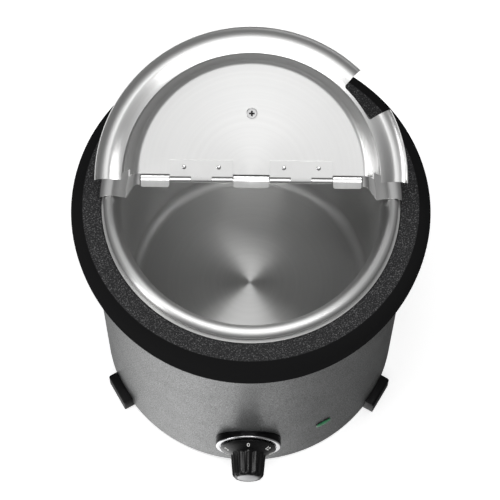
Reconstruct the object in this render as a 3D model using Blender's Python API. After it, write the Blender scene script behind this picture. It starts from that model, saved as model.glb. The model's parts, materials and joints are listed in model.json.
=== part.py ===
"""Soup kettle: a round bain-marie housing with a lift-out pot and a two-part lid hinged across its middle.

Metres, +Z up. The origin is the centre of the base plate's underside, the control knob faces -Y and the
lid's hinge line runs along X, just behind the axis. The flap lies open on its own knob, leaning back over
the rear half.
"""

import math

import bmesh
import bpy
from mathutils import Matrix, Vector

# Pot: a pressed inset that hangs by its rolled rim.
POT_RADIUS = 0.122
POT_DEPTH = 0.2135
POT_SHEET = 0.001
POT_FLOOR_FILLET = 0.012
RIM_FLARE = 0.0064
RIM_WIDTH = 0.0101
RIM_DROP = 0.0065
RIM_HEIGHT = 0.0125
RIM_EDGE_DROP = 0.0016
RIDGE_INSET = 0.0026
FLARE_DEPTH = 0.016
FLARE_BEND = 0.46

# Water well around the pot.
WELL_SHEET = 0.0008
WATER_GAP = 0.010
WATER_UNDER_POT = 0.018
WELL_FLANGE = 0.0075
WELL_FILLET = 0.008
UNDER_WELL = 0.1015

# Collar ring and body shell.
RIM_ABOVE_RING = 0.0118
RIM_TO_RING = 0.0025
RING_WIDTH = 0.029
RING_WALL = 0.003
RING_SKIRT = 0.045
RING_LEAN = 0.0055
RING_NOSE = 0.011
RING_TOP_ROUND = 0.011
RING_CHAMFER = 0.0012
RING_OVERHANG = 0.0165
SHELL_SHEET = 0.001
SHELL_FLANGE = 0.013
BASE_SHEET = 0.0012
BEAD_RADIUS = 0.060
BEAD_WIDTH = 0.008
BEAD_SLOPE = 0.003
BEAD_HEIGHT = 0.002

# Feet and the screws under the base.
FOOT_COUNT = 3
FOOT_WIDTH = 0.035
FOOT_DROP = 0.008
FOOT_RISE = 0.014
FOOT_PROUD = 0.0095
FOOT_UNDER = 0.024
FOOT_CHAMFER = 0.002
FOOT_LAP = 0.004
FOOT_PAD = 0.001
SCREW_RADIUS = 0.002
SCREW_HEAD_RADIUS = 0.0042
SCREW_HEAD_HEIGHT = 0.0024
SCREW_LENGTH = 0.010

# Heater under the well.
HEATER_RADIUS = 0.078
HEATER_TUBE = 0.004
CLAMP_RADIUS = 0.092
CLAMP_THICKNESS = 0.0015
STUD_RADIUS = 0.003
STUD_LENGTH = 0.022
NUT_RADIUS = 0.0062
NUT_HEIGHT = 0.005
CUTOUT_RADIUS = 0.008
CUTOUT_HEIGHT = 0.009

# Controls on the front.
CONTROL_HEIGHT = 0.066
BEZEL_RADIUS = 0.0335
BEZEL_FRONT = 0.0065
BEZEL_BEHIND = 0.010
SKIRT_RADIUS = 0.0285
SKIRT_EDGE = 0.0015
SKIRT_RISE = 0.006
GRIP_RADIUS = 0.018
GRIP_TAPER = 0.002
GRIP_LENGTH = 0.025
GRIP_CHAMFER = 0.0015
GRIP_FLUTES = 12
FLUTE_DEPTH = 0.0012
KNOB_CAP_RADIUS = 0.0125
KNOB_CAP_THICKNESS = 0.0014
KNOB_CAP_DOME = 0.0009
SHAFT_RADIUS = 0.003
SHAFT_DEPTH_IN_KNOB = 0.020
THERMOSTAT_WIDTH = 0.034
THERMOSTAT_DEPTH = 0.026
THERMOSTAT_SETBACK = 0.006
THERMOSTAT_BORE = 0.010
THERMOSTAT_THREAD = 0.008
THERMOSTAT_SCREW_OFFSET = 0.0112
SHAFT_HOLE_RADIUS = 0.006
LAMP_HEIGHT = 0.068
LAMP_AZIMUTH = math.radians(30)
LAMP_WIDTH = 0.017
LAMP_TALL = 0.012
LAMP_PROUD = 0.002
LAMP_BODY_WIDTH = 0.0122
LAMP_BODY_TALL = 0.0082
LAMP_BODY_DEPTH = 0.022
GLAND_AZIMUTH = math.radians(150)
GLAND_HEIGHT = 0.034
GLAND_RADIUS = 0.0095
GLAND_THREAD_RADIUS = 0.0068
GLAND_BORE_RADIUS = 0.0042
GLAND_THREAD_LENGTH = 0.012
GLAND_PROUD = 0.0075
GLAND_CHAMFER = 0.003
GLAND_NUT_HEIGHT = 0.004
TERMINAL_SIZE = (0.040, 0.020, 0.018)

# Lid: one pressed section, split in front of the hinge line.
LID_SHEET = 0.0008
LID_RISE = 0.030
LID_FOLD_INSET = 0.0045
LID_RIDGE_RISE = 0.0047
LID_LIP_DROP = 0.0020
LID_LIP_OVERHANG = 0.0038
LID_DRAFT = math.radians(17.5)
LID_SHOULDER = 0.0075
FLAP_EDGE = 0.0054
REAR_EDGE = 0.0050
REAR_STEP_BACK = 0.0045
TAB_DROP = 0.0012
TAB_REACH = 0.0065
TAB_CORNER = 0.002
NOTCH_START = math.radians(28.5)
NOTCH_END = math.radians(46.7)
NOTCH_FROM_FOLD = 0.003
NOTCH_CORNER = 0.0025
WALL_RELIEF = 0.0065
RELIEF_WIDTH = 0.0105

# Hinges and the lid knob.
HINGE_Y = 0.005
HINGE_OFFSET = 0.046
LEAF_WIDTH = 0.058
LEAF_REACH = 0.0188
LEAF_SHEET = 0.0006
BARREL_RADIUS = 0.0028
KNUCKLE_WIDTH = 0.019
KNUCKLE_GAP = 0.0005
LEAF_SETBACK = 0.0034
RIVET_SPREAD = 0.016
RIVET_REACH = 0.0122
RIVET_RADIUS = 0.0012
RIVET_HEAD_RADIUS = 0.0021
RIVET_HEAD_HEIGHT = 0.0008
LID_KNOB_REACH = 0.063
LID_KNOB_RADIUS = 0.015
LID_KNOB_HEIGHT = 0.0396
LID_KNOB_FOOT_RADIUS = 0.0105
LID_KNOB_NECK_RADIUS = 0.0078
LID_KNOB_BORE_DEPTH = 0.014
LID_KNOB_ROUND = 0.004
LID_SCREW_HEAD_RADIUS = 0.005

# Clearances.
SEAT_GAP = 0.0003
PIN_CLEARANCE = 0.0002
HOLE_CLEARANCE = 0.0003
LEAF_GAP = 0.0002
LID_TO_RIM = 0.0004
KNOB_REST_GAP = 0.0003
DIAL_GAP = 0.0008
THROUGH = 0.010

# Facets.
RING_STEPS = 48
ROUND_STEPS = 16
SMALL_STEPS = 8

# Heights and radii worked out from the values above.
WELL_FLOOR_Z = UNDER_WELL + WELL_SHEET
POT_FLOOR_Z = WELL_FLOOR_Z + WATER_UNDER_POT + POT_SHEET
RIM_Z = POT_FLOOR_Z + POT_DEPTH
RING_Z = RIM_Z - RIM_ABOVE_RING
RIM_INNER_RADIUS = POT_RADIUS + RIM_FLARE
RIM_RADIUS = RIM_INNER_RADIUS + RIM_WIDTH
RIDGE_RADIUS = RIM_INNER_RADIUS + RIDGE_INSET
WELL_RADIUS = POT_RADIUS + POT_SHEET + WATER_GAP
WELL_FLANGE_Z = RIM_Z - RIM_HEIGHT - SEAT_GAP
LEDGE_Z = WELL_FLANGE_Z - WELL_SHEET - SEAT_GAP
BORE_RADIUS = RIM_RADIUS + RIM_TO_RING
RING_RADIUS = BORE_RADIUS + RING_WIDTH
SHELL_RADIUS = RING_RADIUS - RING_OVERHANG
SHELL_INNER = SHELL_RADIUS - SHELL_SHEET
SHELL_TOP_Z = RING_Z - RING_WALL - SEAT_GAP
BASE_FLANGE_Z = BASE_SHEET + SEAT_GAP
BASE_SCREW_RADIUS = SHELL_INNER - 0.5 * SHELL_FLANGE

LID_FOLD_RADIUS = POT_RADIUS - LID_FOLD_INSET
LID_FOLD_Z = RIM_Z + LID_TO_RIM + LID_SHEET - LID_RIDGE_RISE
LID_DISC_Z = LID_FOLD_Z + LID_RISE
LID_LIP_RADIUS = RIM_RADIUS + LID_LIP_OVERHANG
PIN_ABOVE_DISC = BARREL_RADIUS - LEAF_SHEET - LEAF_GAP - LID_SHEET
PIN_Z = LID_DISC_Z + PIN_ABOVE_DISC
PIN_RADIUS = BARREL_RADIUS - LEAF_SHEET - PIN_CLEARANCE
LID_KNOB_BASE = SEAT_GAP - PIN_ABOVE_DISC
FULL_TURN = 2 * math.pi


def open_angle():
    """Angle from closed to open: the flap's knob, rounded at its rim, comes to rest on the rear half."""
    reach = LID_KNOB_REACH - LID_KNOB_RADIUS + LID_KNOB_ROUND
    height = LID_KNOB_BASE + LID_KNOB_HEIGHT - LID_KNOB_ROUND
    offset = LID_KNOB_ROUND + KNOB_REST_GAP - PIN_ABOVE_DISC
    wedge = math.atan2(height, reach) + math.asin(offset / math.hypot(reach, height))
    return math.pi - wedge


# Scene, materials and frames.
def clear_scene():
    for old in list(bpy.data.objects):
        bpy.data.objects.remove(old, do_unlink=True)


def make_material(name, colour, metallic, roughness):
    material = bpy.data.materials.new(name)
    material.use_nodes = True
    shader = material.node_tree.nodes["Principled BSDF"]
    shader.inputs["Base Color"].default_value = (*colour, 1.0)
    shader.inputs["Metallic"].default_value = metallic
    shader.inputs["Roughness"].default_value = roughness
    material.diffuse_color = (*colour, 1.0)
    return material


def make_frame(name, location, rotation=(0.0, 0.0, 0.0)):
    """Empty that carries the pieces which share an axis."""
    frame = bpy.data.objects.new(name, None)
    frame.location = location
    frame.rotation_euler = rotation
    bpy.context.collection.objects.link(frame)
    return frame


def radial_frame(name, azimuth, height):
    """Frame on the shell's surface, its Z pointing out. The azimuth counts from the front towards +X."""
    place = (SHELL_RADIUS * math.sin(azimuth), -SHELL_RADIUS * math.cos(azimuth), height)
    return make_frame(name, place, (math.pi / 2, 0.0, azimuth))


def make_object(name, bm, material=None, frame=None, smooth=True):
    bmesh.ops.recalc_face_normals(bm, faces=bm.faces)
    mesh = bpy.data.meshes.new(name)
    bm.to_mesh(mesh)
    bm.free()
    if smooth:
        mesh.shade_smooth()
        mesh.set_sharp_from_angle(angle=math.radians(35))
    made = bpy.data.objects.new(name, mesh)
    if material:
        mesh.materials.append(material)
    if frame:
        made.parent = frame
    bpy.context.collection.objects.link(made)
    return made


# Outlines in the plane of a section.
def arc(centre, radius, start, end, steps):
    """Points of a circular arc, angles in degrees."""
    points = []
    for step in range(steps + 1):
        angle = math.radians(start + (end - start) * step / steps)
        points.append((centre[0] + radius * math.cos(angle), centre[1] + radius * math.sin(angle)))
    return points


def thicken(path, thickness):
    """Closed section of a sheet: the path, and the same path offset to its right-hand side."""
    offset = []
    for index, point in enumerate(path):
        here = Vector(point)
        before = (here - Vector(path[index - 1])).normalized() if index else None
        after = (Vector(path[index + 1]) - here).normalized() if index + 1 < len(path) else None
        before = before or after
        after = after or before
        along = (before + after).normalized()
        right = Vector((along.y, -along.x))
        stretch = max(along.dot(after), 0.5)
        offset.append(tuple(here + right * (thickness / stretch)))
    return list(path) + offset[::-1]


# Solids.
def revolve(outline, steps=RING_STEPS):
    """Full turn of a closed outline of (radius, height) points about Z."""
    bm = bmesh.new()
    corners = [bm.verts.new((radius, 0.0, height)) for radius, height in outline]
    edges = [bm.edges.new((corners[i - 1], corners[i])) for i in range(len(corners))]
    on_axis = [edge for edge in edges if all(abs(v.co.x) < 1e-9 for v in edge.verts)]
    bmesh.ops.delete(bm, geom=on_axis, context="EDGES")
    bmesh.ops.spin(
        bm,
        geom=bm.verts[:] + bm.edges[:],
        axis=(0, 0, 1),
        cent=(0, 0, 0),
        angle=FULL_TURN,
        steps=steps,
        use_merge=True,
    )
    bmesh.ops.remove_doubles(bm, verts=bm.verts, dist=1e-7)
    return bm


def extrude_outline(outline, depth, place=Matrix.Identity(4)):
    """Prism of a closed outline of (x, y) points, from Z = 0 to the depth, then moved into place."""
    bm = bmesh.new()
    face = bm.faces.new([bm.verts.new((x, y, 0.0)) for x, y in outline])
    moved = bmesh.ops.extrude_face_region(bm, geom=[face])
    top = [item for item in moved["geom"] if isinstance(item, bmesh.types.BMVert)]
    bmesh.ops.translate(bm, vec=(0, 0, depth), verts=top)
    bmesh.ops.transform(bm, matrix=place, verts=bm.verts)
    return bm


def across_x(outline, x_low, x_high):
    """Prism along X of an outline of (y, z) points."""
    place = Matrix(((0, 0, 1, x_low), (1, 0, 0, 0), (0, 1, 0, 0), (0, 0, 0, 1)))
    return extrude_outline(outline, x_high - x_low, place)


def box(low, high):
    bm = bmesh.new()
    bmesh.ops.create_cube(bm, size=1.0)
    size = [b - a for a, b in zip(low, high)]
    centre = [(a + b) / 2 for a, b in zip(low, high)]
    bmesh.ops.scale(bm, vec=size, verts=bm.verts)
    bmesh.ops.translate(bm, vec=centre, verts=bm.verts)
    return bm


def rod(radius, low, high, steps=ROUND_STEPS):
    """Cylinder along Z."""
    return revolve([(0.0, low), (radius, low), (radius, high), (0.0, high)], steps)


def turned(bm, rotation=Matrix.Identity(4), place=(0.0, 0.0, 0.0)):
    bmesh.ops.transform(bm, matrix=Matrix.Translation(place) @ rotation, verts=bm.verts)
    return bm


def along_x(bm, place=(0.0, 0.0, 0.0)):
    """Turns a solid built about Z so that its axis runs along X."""
    return turned(bm, Matrix.Rotation(math.pi / 2, 4, "Y"), place)


def join(solids):
    """Several separate solids in one bmesh, for a cutter."""
    joined = bmesh.new()
    for solid in solids:
        copy = bpy.data.meshes.new("cutter_part")
        solid.to_mesh(copy)
        joined.from_mesh(copy)
        solid.free()
        bpy.data.meshes.remove(copy)
    return joined


def boolean(target, name, bm, operation, frame=None):
    """Cuts or joins a hidden solid, in the same frame as its target."""
    tool = make_object(name, bm, frame=frame, smooth=False)
    tool.hide_render = True
    tool.display_type = "WIRE"
    modifier = target.modifiers.new(name, "BOOLEAN")
    modifier.operation = operation
    modifier.solver = "EXACT"
    modifier.object = tool


def cut(target, name, bm, frame=None):
    boolean(target, name, bm, "DIFFERENCE", frame)


def add(target, name, bm, frame=None):
    boolean(target, name, bm, "UNION", frame)


def screw_outline(shank, head, head_height, length):
    """Pan-headed screw pointing up: its head hangs below Z = 0."""
    return [
        (0.0, -head_height),
        (0.6 * head, -head_height),
        (head, -0.35 * head_height),
        (head, 0.0),
        (shank, 0.0),
        (shank, length),
        (0.0, length),
    ]


# Housing.
def floor_corner(radius, floor_z, fillet, steps=3):
    return arc((radius - fillet, floor_z + fillet), fillet, -90, 0, steps)


def build_pot(material):
    curl_radius = RIM_HEIGHT - RIM_DROP
    curl_centre = (RIM_RADIUS - curl_radius, RIM_Z - RIM_DROP)
    path = [(0.0, POT_FLOOR_Z)]
    path += floor_corner(POT_RADIUS, POT_FLOOR_Z, POT_FLOOR_FILLET)
    path += [
        (POT_RADIUS, RIM_Z - FLARE_DEPTH),
        (POT_RADIUS + FLARE_BEND * RIM_FLARE, RIM_Z - FLARE_BEND * FLARE_DEPTH),
        (RIM_INNER_RADIUS, RIM_Z - RIM_EDGE_DROP),
        (RIDGE_RADIUS, RIM_Z),
    ]
    path += arc(curl_centre, curl_radius, 75, -102, 6)
    make_object("soup_pot", revolve(thicken(path, POT_SHEET)), material)


def build_well(material):
    flange_end = WELL_RADIUS + WELL_FLANGE
    path = [(0.0, WELL_FLOOR_Z)]
    path += floor_corner(WELL_RADIUS, WELL_FLOOR_Z, WELL_FILLET, 2)
    path += [(WELL_RADIUS, WELL_FLANGE_Z), (flange_end, WELL_FLANGE_Z)]
    make_object("water_well", revolve(thicken(path, WELL_SHEET)), material)


def ring_side(inset):
    """Side of the collar from its lower edge up, curving out to its widest plane."""
    low = RING_Z - RING_SKIRT
    wide = RING_Z - RING_NOSE
    steps = 4
    for step in range(steps):
        down = 1 - step / steps
        yield RING_RADIUS - inset - RING_LEAN * down ** 2, wide - down * (wide - low)


def build_ring(material):
    low = RING_Z - RING_SKIRT
    wide = RING_Z - RING_NOSE
    shell_side = SHELL_RADIUS + SEAT_GAP
    ledge_inner = WELL_RADIUS + WELL_SHEET + 2 * SEAT_GAP
    side = list(ring_side(0.0))
    side[0] = (side[0][0], low + RING_CHAMFER)
    outside = [(shell_side, low), (side[0][0] - RING_CHAMFER, low)] + side
    top_inner = RING_RADIUS - RING_TOP_ROUND
    for step in range(5):
        angle = math.pi / 2 * step / 4
        place = (top_inner + RING_TOP_ROUND * math.cos(angle), wide + RING_NOSE * math.sin(angle))
        outside.append(place)
    outside += [(BORE_RADIUS + RING_CHAMFER, RING_Z), (BORE_RADIUS, RING_Z - RING_CHAMFER)]
    outside += [(BORE_RADIUS, LEDGE_Z), (ledge_inner, LEDGE_Z), (ledge_inner, LEDGE_Z - RING_WALL)]
    inside = [
        (BORE_RADIUS + RING_WALL, LEDGE_Z - RING_WALL),
        (BORE_RADIUS + RING_WALL, RING_Z - RING_WALL),
        (top_inner, RING_Z - RING_WALL),
        (RING_RADIUS - RING_WALL - RING_CHAMFER, wide),
    ]
    inner_side = list(ring_side(RING_WALL))
    inner_side[0] = (inner_side[0][0], low + RING_WALL)
    inside += inner_side[::-1] + [(shell_side, low + RING_WALL)]
    make_object("collar_ring", revolve(outside + inside), material)


def build_shell(material):
    outline = [
        (SHELL_RADIUS, 0.0),
        (SHELL_RADIUS, SHELL_TOP_Z),
        (SHELL_INNER, SHELL_TOP_Z),
        (SHELL_INNER, BASE_FLANGE_Z + SHELL_SHEET),
        (SHELL_INNER - SHELL_FLANGE, BASE_FLANGE_Z + SHELL_SHEET),
        (SHELL_INNER - SHELL_FLANGE, BASE_FLANGE_Z),
        (SHELL_INNER, BASE_FLANGE_Z),
        (SHELL_INNER, 0.0),
    ]
    return make_object("body_shell", revolve(outline), material)


def around(count, first, radius):
    """Places spread evenly round the axis: (azimuth, x, y), the azimuth counted from the front towards +X."""
    for index in range(count):
        azimuth = first + index * FULL_TURN / count
        yield azimuth, radius * math.sin(azimuth), -radius * math.cos(azimuth)


def build_base(shell, plate_material, foot_material, screw_material):
    bead_end = BEAD_RADIUS + BEAD_WIDTH
    path = [
        (0.0, BASE_SHEET),
        (BEAD_RADIUS, BASE_SHEET),
        (BEAD_RADIUS + BEAD_SLOPE, BASE_SHEET + BEAD_HEIGHT),
        (bead_end - BEAD_SLOPE, BASE_SHEET + BEAD_HEIGHT),
        (bead_end, BASE_SHEET),
        (SHELL_INNER - SEAT_GAP, BASE_SHEET),
    ]
    plate = make_object("base_plate", revolve(thicken(path, BASE_SHEET)), plate_material)
    first_foot = math.pi / FOOT_COUNT
    hole = SCREW_RADIUS + HOLE_CLEARANCE
    holes = []
    for _, x, y in around(2 * FOOT_COUNT, 0.0, BASE_SCREW_RADIUS):
        holes.append(turned(rod(hole, -THROUGH, THROUGH, SMALL_STEPS), place=(x, y, 0.0)))
    cut(plate, "plate_screw_holes", join(holes))
    holes = []
    for _, x, y in around(2 * FOOT_COUNT, 0.0, BASE_SCREW_RADIUS):
        holes.append(turned(rod(hole, BASE_SHEET, THROUGH, SMALL_STEPS), place=(x, y, 0.0)))
    cut(shell, "flange_screw_holes", join(holes))

    outline = screw_outline(SCREW_RADIUS, SCREW_HEAD_RADIUS, SCREW_HEAD_HEIGHT, SCREW_LENGTH)
    for index, (_, x, y) in enumerate(around(FOOT_COUNT, 0.0, BASE_SCREW_RADIUS)):
        solid = turned(revolve(outline, SMALL_STEPS), place=(x, y, -SEAT_GAP))
        make_object(f"base_screw_{index + 1}", solid, screw_material)

    outer = SHELL_RADIUS + FOOT_PROUD
    inner = SHELL_RADIUS + SEAT_GAP
    section = [
        (SHELL_RADIUS - FOOT_UNDER, -FOOT_DROP),
        (outer, -FOOT_DROP),
        (outer, FOOT_RISE - FOOT_CHAMFER),
        (outer - FOOT_CHAMFER, FOOT_RISE),
        (inner - FOOT_LAP, FOOT_RISE),
        (inner - FOOT_LAP, -SEAT_GAP),
        (SHELL_RADIUS - FOOT_UNDER, -SEAT_GAP),
    ]
    head_floor = -FOOT_DROP + SCREW_HEAD_HEIGHT + FOOT_PAD
    head_hole = SCREW_HEAD_RADIUS + HOLE_CLEARANCE
    stepped = [
        (0.0, -FOOT_DROP - THROUGH),
        (head_hole, -FOOT_DROP - THROUGH),
        (head_hole, head_floor),
        (hole, head_floor),
        (hole, THROUGH),
        (0.0, THROUGH),
    ]
    above_plate = FOOT_RISE + THROUGH
    screw_y = (0.0, -BASE_SCREW_RADIUS)
    for index, (azimuth, _, _) in enumerate(around(FOOT_COUNT, first_foot, BASE_SCREW_RADIUS)):
        frame = make_frame(f"foot_frame_{index + 1}", (0.0, 0.0, 0.0), (0.0, 0.0, azimuth))
        solid = across_x([(-r, z) for r, z in section], -FOOT_WIDTH / 2, FOOT_WIDTH / 2)
        foot = make_object(f"foot_{index + 1}", solid, foot_material, frame, smooth=False)
        body = rod(inner, -SEAT_GAP, above_plate, RING_STEPS)
        cut(foot, f"foot_shell_{index + 1}", body, frame)
        screw_hole = turned(revolve(stepped, SMALL_STEPS), place=(*screw_y, 0.0))
        cut(foot, f"foot_screw_hole_{index + 1}", screw_hole, frame)
        length = SCREW_LENGTH - head_floor
        fixing = screw_outline(SCREW_RADIUS, SCREW_HEAD_RADIUS, SCREW_HEAD_HEIGHT, length)
        solid = turned(revolve(fixing, SMALL_STEPS), place=(*screw_y, head_floor - SEAT_GAP))
        make_object(f"foot_screw_{index + 1}", solid, screw_material, frame)


# Heater.
def build_heater(heater_material, clamp_material, nut_material):
    tube_z = UNDER_WELL - SEAT_GAP - HEATER_TUBE
    ring = revolve(arc((HEATER_RADIUS, tube_z), HEATER_TUBE, 0, 300, 5), 32)
    make_object("heating_element", ring, heater_material)

    clamp_z = tube_z - HEATER_TUBE - SEAT_GAP
    clamp = rod(CLAMP_RADIUS, clamp_z - CLAMP_THICKNESS, clamp_z, 32)
    clamp = make_object("heater_clamp_plate", clamp, clamp_material)
    hole = rod(STUD_RADIUS + HOLE_CLEARANCE, clamp_z - THROUGH, clamp_z + THROUGH)
    cut(clamp, "clamp_stud_hole", hole)

    stud_top = UNDER_WELL - SEAT_GAP
    make_object("clamp_stud", rod(STUD_RADIUS, stud_top - STUD_LENGTH, stud_top), nut_material)

    nut_top = clamp_z - CLAMP_THICKNESS - SEAT_GAP
    hexagon = arc((0.0, 0.0), NUT_RADIUS, 0, 300, 5)
    nut = extrude_outline(hexagon, NUT_HEIGHT, Matrix.Translation((0, 0, nut_top - NUT_HEIGHT)))
    nut = make_object("clamp_nut", nut, nut_material, smooth=False)
    cut(nut, "nut_bore", rod(STUD_RADIUS + PIN_CLEARANCE, nut_top - THROUGH, nut_top + THROUGH))

    cutout = rod(CUTOUT_RADIUS, nut_top - CUTOUT_HEIGHT, nut_top)
    make_object("thermal_cutout", turned(cutout, place=(0.5 * HEATER_RADIUS, 0.0, 0.0)), heater_material)


# Controls.
def build_controls(shell, materials):
    front = make_frame("dial_axis", (0.0, -SHELL_RADIUS, CONTROL_HEIGHT), (math.pi / 2, 0.0, 0.0))
    cut(shell, "shaft_hole", rod(SHAFT_HOLE_RADIUS, -THROUGH, THROUGH), front)

    bezel = rod(BEZEL_RADIUS, -BEZEL_BEHIND, BEZEL_FRONT, 32)
    bezel = make_object("dial_bezel", bezel, materials["bezel"], front)
    shell_solid = rod(SHELL_RADIUS + SEAT_GAP, -2 * BEZEL_RADIUS, 2 * BEZEL_RADIUS, RING_STEPS)
    upright = Matrix.Rotation(math.pi / 2, 4, "X")
    cut(bezel, "bezel_back", turned(shell_solid, upright, (0.0, 0.0, -SHELL_RADIUS)), front)
    cut(bezel, "bezel_hole", rod(SHAFT_HOLE_RADIUS, -BEZEL_BEHIND - THROUGH, BEZEL_FRONT + THROUGH), front)

    skirt_z = BEZEL_FRONT + DIAL_GAP
    grip_z = skirt_z + SKIRT_EDGE + SKIRT_RISE
    tip_z = grip_z + GRIP_LENGTH
    tip_radius = GRIP_RADIUS - GRIP_TAPER
    rings = [
        (skirt_z, SKIRT_RADIUS, 0.0),
        (skirt_z + SKIRT_EDGE, SKIRT_RADIUS, 0.0),
        (grip_z, GRIP_RADIUS, 0.0),
        (grip_z + GRIP_CHAMFER, GRIP_RADIUS, FLUTE_DEPTH),
        (tip_z - GRIP_CHAMFER, tip_radius, FLUTE_DEPTH),
        (tip_z, tip_radius - GRIP_CHAMFER, 0.0),
    ]
    knob = make_object("control_knob", fluted(rings), materials["knob"], front)
    fit_radius = SHAFT_RADIUS + HOLE_CLEARANCE
    cut(knob, "knob_bore", rod(fit_radius, 0.0, skirt_z + SHAFT_DEPTH_IN_KNOB, SMALL_STEPS), front)
    cap_z = tip_z - KNOB_CAP_THICKNESS
    recess = rod(KNOB_CAP_RADIUS + HOLE_CLEARANCE, cap_z - SEAT_GAP, tip_z + THROUGH)
    cut(knob, "cap_recess", recess, front)
    cap = [
        (0.0, cap_z),
        (KNOB_CAP_RADIUS, cap_z),
        (KNOB_CAP_RADIUS, tip_z),
        (0.7 * KNOB_CAP_RADIUS, tip_z + 0.7 * KNOB_CAP_DOME),
        (0.0, tip_z + KNOB_CAP_DOME),
    ]
    make_object("knob_cap", revolve(cap, ROUND_STEPS), materials["cap"], front)

    box_front = -SHELL_SHEET - THERMOSTAT_SETBACK
    half = THERMOSTAT_WIDTH / 2
    body = box((-half, -half, box_front - THERMOSTAT_DEPTH), (half, half, box_front))
    body = make_object("thermostat_body", body, materials["phenolic"], front, smooth=False)
    seat = box_front - THERMOSTAT_BORE
    cut(body, "thermostat_bore", rod(fit_radius, seat, 0.0, SMALL_STEPS), front)
    shaft_high = skirt_z + SHAFT_DEPTH_IN_KNOB - SEAT_GAP
    shaft = rod(SHAFT_RADIUS, seat + SEAT_GAP, shaft_high, SMALL_STEPS)
    make_object("thermostat_shaft", shaft, materials["steel"], front)

    screw_hole = SCREW_RADIUS + HOLE_CLEARANCE
    head_hole = SCREW_HEAD_RADIUS + HOLE_CLEARANCE
    thread_end = box_front - THERMOSTAT_THREAD
    pocket_top = SCREW_HEAD_HEIGHT + 2 * SEAT_GAP
    outline = screw_outline(SCREW_RADIUS, SCREW_HEAD_RADIUS, SCREW_HEAD_HEIGHT, -thread_end - SEAT_GAP)
    inwards = Matrix.Rotation(math.pi, 4, "X")
    for side, name in ((-1, "left"), (1, "right")):
        x = side * THERMOSTAT_SCREW_OFFSET
        through = turned(rod(screw_hole, -THROUGH, THROUGH, SMALL_STEPS), place=(x, 0.0, 0.0))
        cut(shell, f"thermostat_screw_hole_{name}", through, front)
        thread = turned(rod(screw_hole, thread_end, 0.0, SMALL_STEPS), place=(x, 0.0, 0.0))
        cut(body, f"thermostat_thread_{name}", thread, front)
        pocket = turned(rod(head_hole, -BEZEL_BEHIND - THROUGH, pocket_top, SMALL_STEPS), place=(x, 0.0, 0.0))
        cut(bezel, f"bezel_screw_pocket_{name}", pocket, front)
        solid = turned(revolve(outline, SMALL_STEPS), inwards, (x, 0.0, SEAT_GAP))
        make_object(f"thermostat_screw_{name}", solid, materials["steel"], front)


def fluted(rings):
    """Turned solid whose rings are (height, radius, depth of the flutes)."""
    steps = 2 * GRIP_FLUTES
    bm = bmesh.new()
    loops = []
    for height, radius, depth in rings:
        made = bmesh.ops.create_circle(bm, cap_ends=False, segments=steps, radius=1.0)["verts"]
        for vert in made:
            wave = 0.5 - 0.5 * math.cos(GRIP_FLUTES * math.atan2(vert.co.y, vert.co.x))
            reach = radius - depth * wave
            vert.co = (reach * vert.co.x, reach * vert.co.y, height)
        loops.append(list({edge for vert in made for edge in vert.link_edges}))
    for low, high in zip(loops, loops[1:]):
        bmesh.ops.bridge_loops(bm, edges=low + high)
    for end in (loops[0], loops[-1]):
        bmesh.ops.contextual_create(bm, geom=end)
    return bm


def build_lamp(shell, lens_material, body_material):
    frame = radial_frame("lamp_frame", LAMP_AZIMUTH, LAMP_HEIGHT)
    half_x = LAMP_BODY_WIDTH / 2
    half_y = LAMP_BODY_TALL / 2
    hole_x = half_x + HOLE_CLEARANCE
    hole_y = half_y + HOLE_CLEARANCE
    cut(shell, "lamp_hole", box((-hole_x, -hole_y, -THROUGH), (hole_x, hole_y, THROUGH)), frame)
    lens = rod(0.5, SEAT_GAP, LAMP_PROUD)
    bmesh.ops.scale(lens, vec=(LAMP_WIDTH, LAMP_TALL, 1.0), verts=lens.verts)
    make_object("pilot_lamp_lens", lens, lens_material, frame)
    body = box((-half_x, -half_y, -LAMP_BODY_DEPTH), (half_x, half_y, 0.0))
    make_object("pilot_lamp_body", body, body_material, frame, smooth=False)


def build_gland(shell, material, block_material):
    frame = radial_frame("gland_frame", GLAND_AZIMUTH, GLAND_HEIGHT)
    thread_hole = rod(GLAND_THREAD_RADIUS + HOLE_CLEARANCE, -THROUGH, THROUGH)
    cut(shell, "gland_hole", thread_hole, frame)
    seat = 3 * SEAT_GAP
    outline = [
        (GLAND_BORE_RADIUS, -GLAND_THREAD_LENGTH),
        (GLAND_THREAD_RADIUS, -GLAND_THREAD_LENGTH),
        (GLAND_THREAD_RADIUS, seat),
        (GLAND_RADIUS, seat),
        (GLAND_RADIUS, GLAND_PROUD - GLAND_CHAMFER),
        (GLAND_RADIUS - 0.6 * GLAND_CHAMFER, GLAND_PROUD),
        (GLAND_BORE_RADIUS, GLAND_PROUD),
    ]
    make_object("cable_gland", revolve(outline, ROUND_STEPS), material, frame)
    nut_top = -SHELL_SHEET - 4 * SEAT_GAP
    nut_bore = GLAND_THREAD_RADIUS + PIN_CLEARANCE
    lock = [
        (nut_bore, nut_top - GLAND_NUT_HEIGHT),
        (GLAND_RADIUS, nut_top - GLAND_NUT_HEIGHT),
        (GLAND_RADIUS, nut_top),
        (nut_bore, nut_top),
    ]
    make_object("gland_lock_nut", revolve(lock, ROUND_STEPS), material, frame, smooth=False)

    across, deep, tall = TERMINAL_SIZE
    rear = SHELL_INNER - SHELL_FLANGE - deep
    floor = BASE_SHEET + SEAT_GAP
    block = box((-across / 2, rear - deep, floor), (across / 2, rear, floor + tall))
    make_object("terminal_block", block, block_material, smooth=False)


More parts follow.
